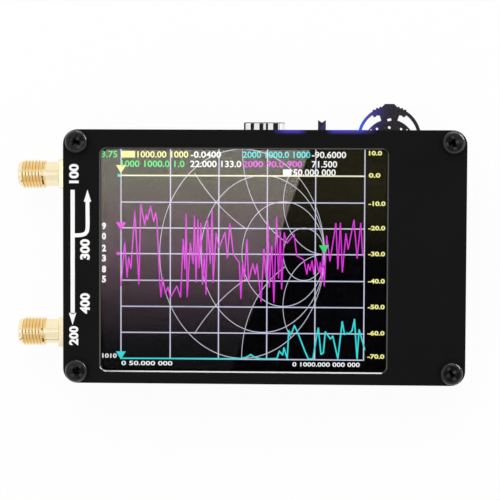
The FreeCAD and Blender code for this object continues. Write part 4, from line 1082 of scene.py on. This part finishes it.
# one trace swings up and down at random; each row gives a stretch's end, its two bounds and its pace
sweep, x, high = [], -25.4, False
for end, low, top, pace in (
        (-22.6, -10.2, 2.4, 0.55), (-20.4, -11.0, 8.3, 0.6), (-17.6, 2.6, 7.9, 0.45),
        (-15.9, -13.4, -7.5, 0.4), (-12.2, -12.8, -7.6, 0.9), (-4.4, -13.5, 6.8, 0.42),
        (-0.2, -4.2, 7.4, 0.85), (5.2, -12.6, 1.8, 0.6), (9.4, -13.2, 6.0, 0.55), (13.4, -3.6, 4.6, 1.0),
        (17.4, -7.8, -2.2, 0.45), (19.2, -11.2, 6.8, 0.5), (26.4, -6.2, 6.6, 0.8)):
    while x < end:
        reach = random.uniform(0, 0.45) * (top - low)
        sweep.append((x, top - reach if high else low + reach))
        x, high = x + pace * random.choice((0.6, 0.9, 1.5)), not high
trace(layers["magenta"], sweep, 0.24)
trace(layers["cyan"], [
    (-25.4, -24.9), (-0.2, -24.8), (1.5, -24.5), (2.5, -23.9), (3.4, -24.5), (4.9, -24.8), (8.1, -24.7),
    (8.6, -23.1), (9.3, -23.9), (9.6, -22.4), (10.3, -24.7), (10.6, -18.7), (11.1, -19.5), (11.8, -17.6),
    (12.6, -19.3), (14.0, -22.9), (14.8, -24.7), (15.8, -24.7), (16.5, -20.2), (16.9, -18.1), (17.5, -23.7),
    (18.0, -23.4), (18.4, -18.9), (19.5, -20.4), (20.0, -19.8), (21.1, -24.6), (22.0, -16.7), (22.5, -19.4),
    (23.1, -19.1), (23.4, -19.3), (24.1, -18.6), (24.6, -16.2), (25.2, -24.6), (25.6, -18.4), (26.1, -20.0),
    (26.8, -22.6)], 0.3)
bar(layers["pale"], GRID_LEFT, GRID_RIGHT, 14.15, 14.45)
for name, x, y in (("green", 18.0, -1.0), ("yellow", -25.4, 15.9), ("magenta", -25.4, 3.7),
                   ("cyan", -25.4, -24.0)):
    made = bmesh.ops.create_circle(layers[name], cap_ends=True, radius=1.3, segments=3)["verts"]
    bmesh.ops.rotate(layers[name], matrix=Matrix.Rotation(math.pi, 3, "Z"), verts=made)
    bmesh.ops.scale(layers[name], vec=(0.95, 0.9, 1), verts=made)
    bmesh.ops.translate(layers[name], vec=(x, y, 0), verts=made)
    raise_up(layers[name], made[0].link_faces[:], PEN)
for name, text, left, right, y in (
        ("green", "3.75", -29.6, -26.2, 18.8), ("yellow", "1000.00 1000", -21.9, -11.0, 18.8),
        ("white", "-0.0400", -10.5, -4.0, 18.8), ("cyan", "2000 1000.0 1000", 0.6, 15.0, 18.8),
        ("white", "-90.6000", 15.3, 22.6, 18.8), ("green", "1000 1000.0 1.0", -25.3, -11.8, 16.8),
        ("white", "22.000 133.0", -10.6, 0.3, 16.8), ("magenta", "2000 90.0 900", 0.6, 13.3, 16.8),
        ("white", "71.500", 15.3, 20.7, 16.8), ("white", "50.000 000", 11.4, 20.4, 15.05)):
    write(layers[name], text, left, right, y, 1.4)
for text, left, right, y in (("0 50.000 000", -25.3, -14.3, -25.9), ("0 1000.000 000 000", 11.4, 25.8, -25.9),
                             ("1010", -29.4, -26.3, -24.35)):
    write(layers["white"], text, left, right, y, 0.95)
bar(layers["yellow"], -25.3, -22.4, 18.1, 19.5)
bar(layers["white"], 9.2, 11.0, 14.4, 15.7)
for level, y in enumerate((19.2, 14.5, 8.5, 3.3, -2.2, -8.0, -13.5, -19.1, -24.1)):
    write(layers["yellow"], f"{10 - 10 * level}.0", 27.4, (30.2, 29.9, 31.0)[min(level, 2)], y, 1.0, 0.035)
for figure, y in zip("902385", (3.46, 1.3, -1.25, -3.4, -5.75, -7.9)):
    write(layers["white"], figure, -29.5, -28.6, y, 1.5, 0.05)
bar(layers["green"], 17.9, 18.1, -3.5, -1.5)
bar(layers["cyan"], -26.1, -25.5, 14.0, 14.6)
bar(layers["magenta"], -26.3, -25.5, -2.7, -2.1)

for number, (name, colour) in enumerate(COLOURS.items()):
    height = LAYER_Z + LAYER_STEP * number
    bmesh.ops.translate(layers[name], vec=(0, 0, height), verts=layers[name].verts)
    piece(f"picture_{name}", layers[name], [shining(f"picture_{name}", *colour)])


# ---- front spacers ----
# Plain hexagonal brass spacers between the circuit board and the front sheet, one near each corner. They
# leave room for the display between the two.

low, high = box_of("front_standoffs")
bm = bmesh.new()
spacers(bm, low.z, high.z)
piece("front_spacer_set", bm, [brass], ["front_standoffs"])


# ---- front sheet ----
# The same black board as the back, with a window cut for the screen. The window's edge has a dark, smooth
# chamfer, and the ports are numbered in white print.

WINDOW_X, WINDOW_Y, WINDOW_W, WINDOW_H = 0.9, -3.7, 60.8, 47.2
CHAMFER, ARROW_HALF_W = 0.25, 0.42


def polished_chamfer():
    finish = material("polished_chamfer")
    fibre = finish.noise(0.2, 3)
    return finish.surface(finish.blend(fibre, paint(18, 18, 20), paint(30, 30, 32)), 0.14 + fibre * 0.06,
                          fibre, 0.003, specular=0.8, coat_weight=0.4, coat_roughness=0.12)


def printed_white():
    finish = material("printed_white")
    wear = finish.noise(0.4, 4)
    return finish.surface(finish.blend(wear, paint(244, 244, 242), paint(254, 254, 252)), 0.5 + wear * 0.2,
                          finish.noise(0.1, 2), 0.004)


low, high = box_of("front_panel")
bm = bmesh.new()
plate(bm, *sheet_walls("front_panel"), (rounded(WINDOW_X, WINDOW_Y, WINDOW_W, WINDOW_H, 1.2), [
    (0, low.z), (0, high.z - CHAMFER), (CHAMFER, high.z)]))
bm.normal_update()
for face in bm.faces:
    spot = face.calc_center_median()
    beside = abs(spot.x - WINDOW_X) < WINDOW_W / 2 + 1 and abs(spot.y - WINDOW_Y) < WINDOW_H / 2 + 1
    if beside and 0.3 < abs(face.normal.z) < 0.9:
        face.material_index = 1
# the front sheet's top rim carries painted blue light from the two lamps behind it
piece("front_sheet", bm, [lacquered_board("front_lacquer", True), polished_chamfer()],
      ["front_panel"])

PRINT_Z = high.z + 0.01
bm = bmesh.new()
for text, x, y, width, height in (("100", -35.15, 14.6, 4.1, 2.1), ("200", -35.2, -19.9, 4.1, 2.0),
                                  ("300", -32.8, -1.5, 4.4, 2.1), ("400", -32.8, -13.0, 4.4, 2.1)):
    write(bm, text, x - width / 2, x + width / 2, y, height, 0.045, True)
plate(bm, (rounded(-35.42, -2.05, 0.9, 26.4, 0.1), [(0, -PEN / 2), (0, PEN / 2)]))
for x, y, turn in ((-35.45, -15.9, math.pi), (-32.25, 9.5, 0)):
    made = bmesh.ops.create_circle(bm, cap_ends=True, radius=1.7, segments=3)["verts"]
    bmesh.ops.scale(bm, vec=(0.528, 1, 1), verts=made)
    bmesh.ops.rotate(bm, matrix=Matrix.Rotation(turn, 3, "Z"), verts=made)
    bmesh.ops.translate(bm, vec=(x, y, -PEN / 2), verts=made)
    raise_up(bm, made[0].link_faces[:], PEN)
branch = [(-35.3, 1.5), (-33.6, 1.45), (-32.4, 2.0), (-32.2, 3.4), (-32.25, 6), (-32.25, 9)]
flattened = Matrix.Diagonal((1, 1, PEN / 2 / ARROW_HALF_W, 1))
add_curve(bm, [(x, y, 0) for x, y in branch], ARROW_HALF_W, flattened)
bmesh.ops.translate(bm, vec=(0, 0, PRINT_Z), verts=bm.verts)
piece("printed_marks", bm, [printed_white()])


# ---- front screws ----
# The same black pan-head screws as on the back. They hold the front sheet to the front spacers, each
# turned as far as it went.

seat = box_of("front_panel")[1].z
bm = bmesh.new()
add(bm, screw, *[Matrix.Translation((x, y, seat)) @ Matrix.Rotation(math.radians(turn), 4, "Z")
                 for (x, y), turn in zip(HOLES, (12, 30, 64, 50))])
piece("front_screw_set", bm, [screw_black], ["front_screws"])
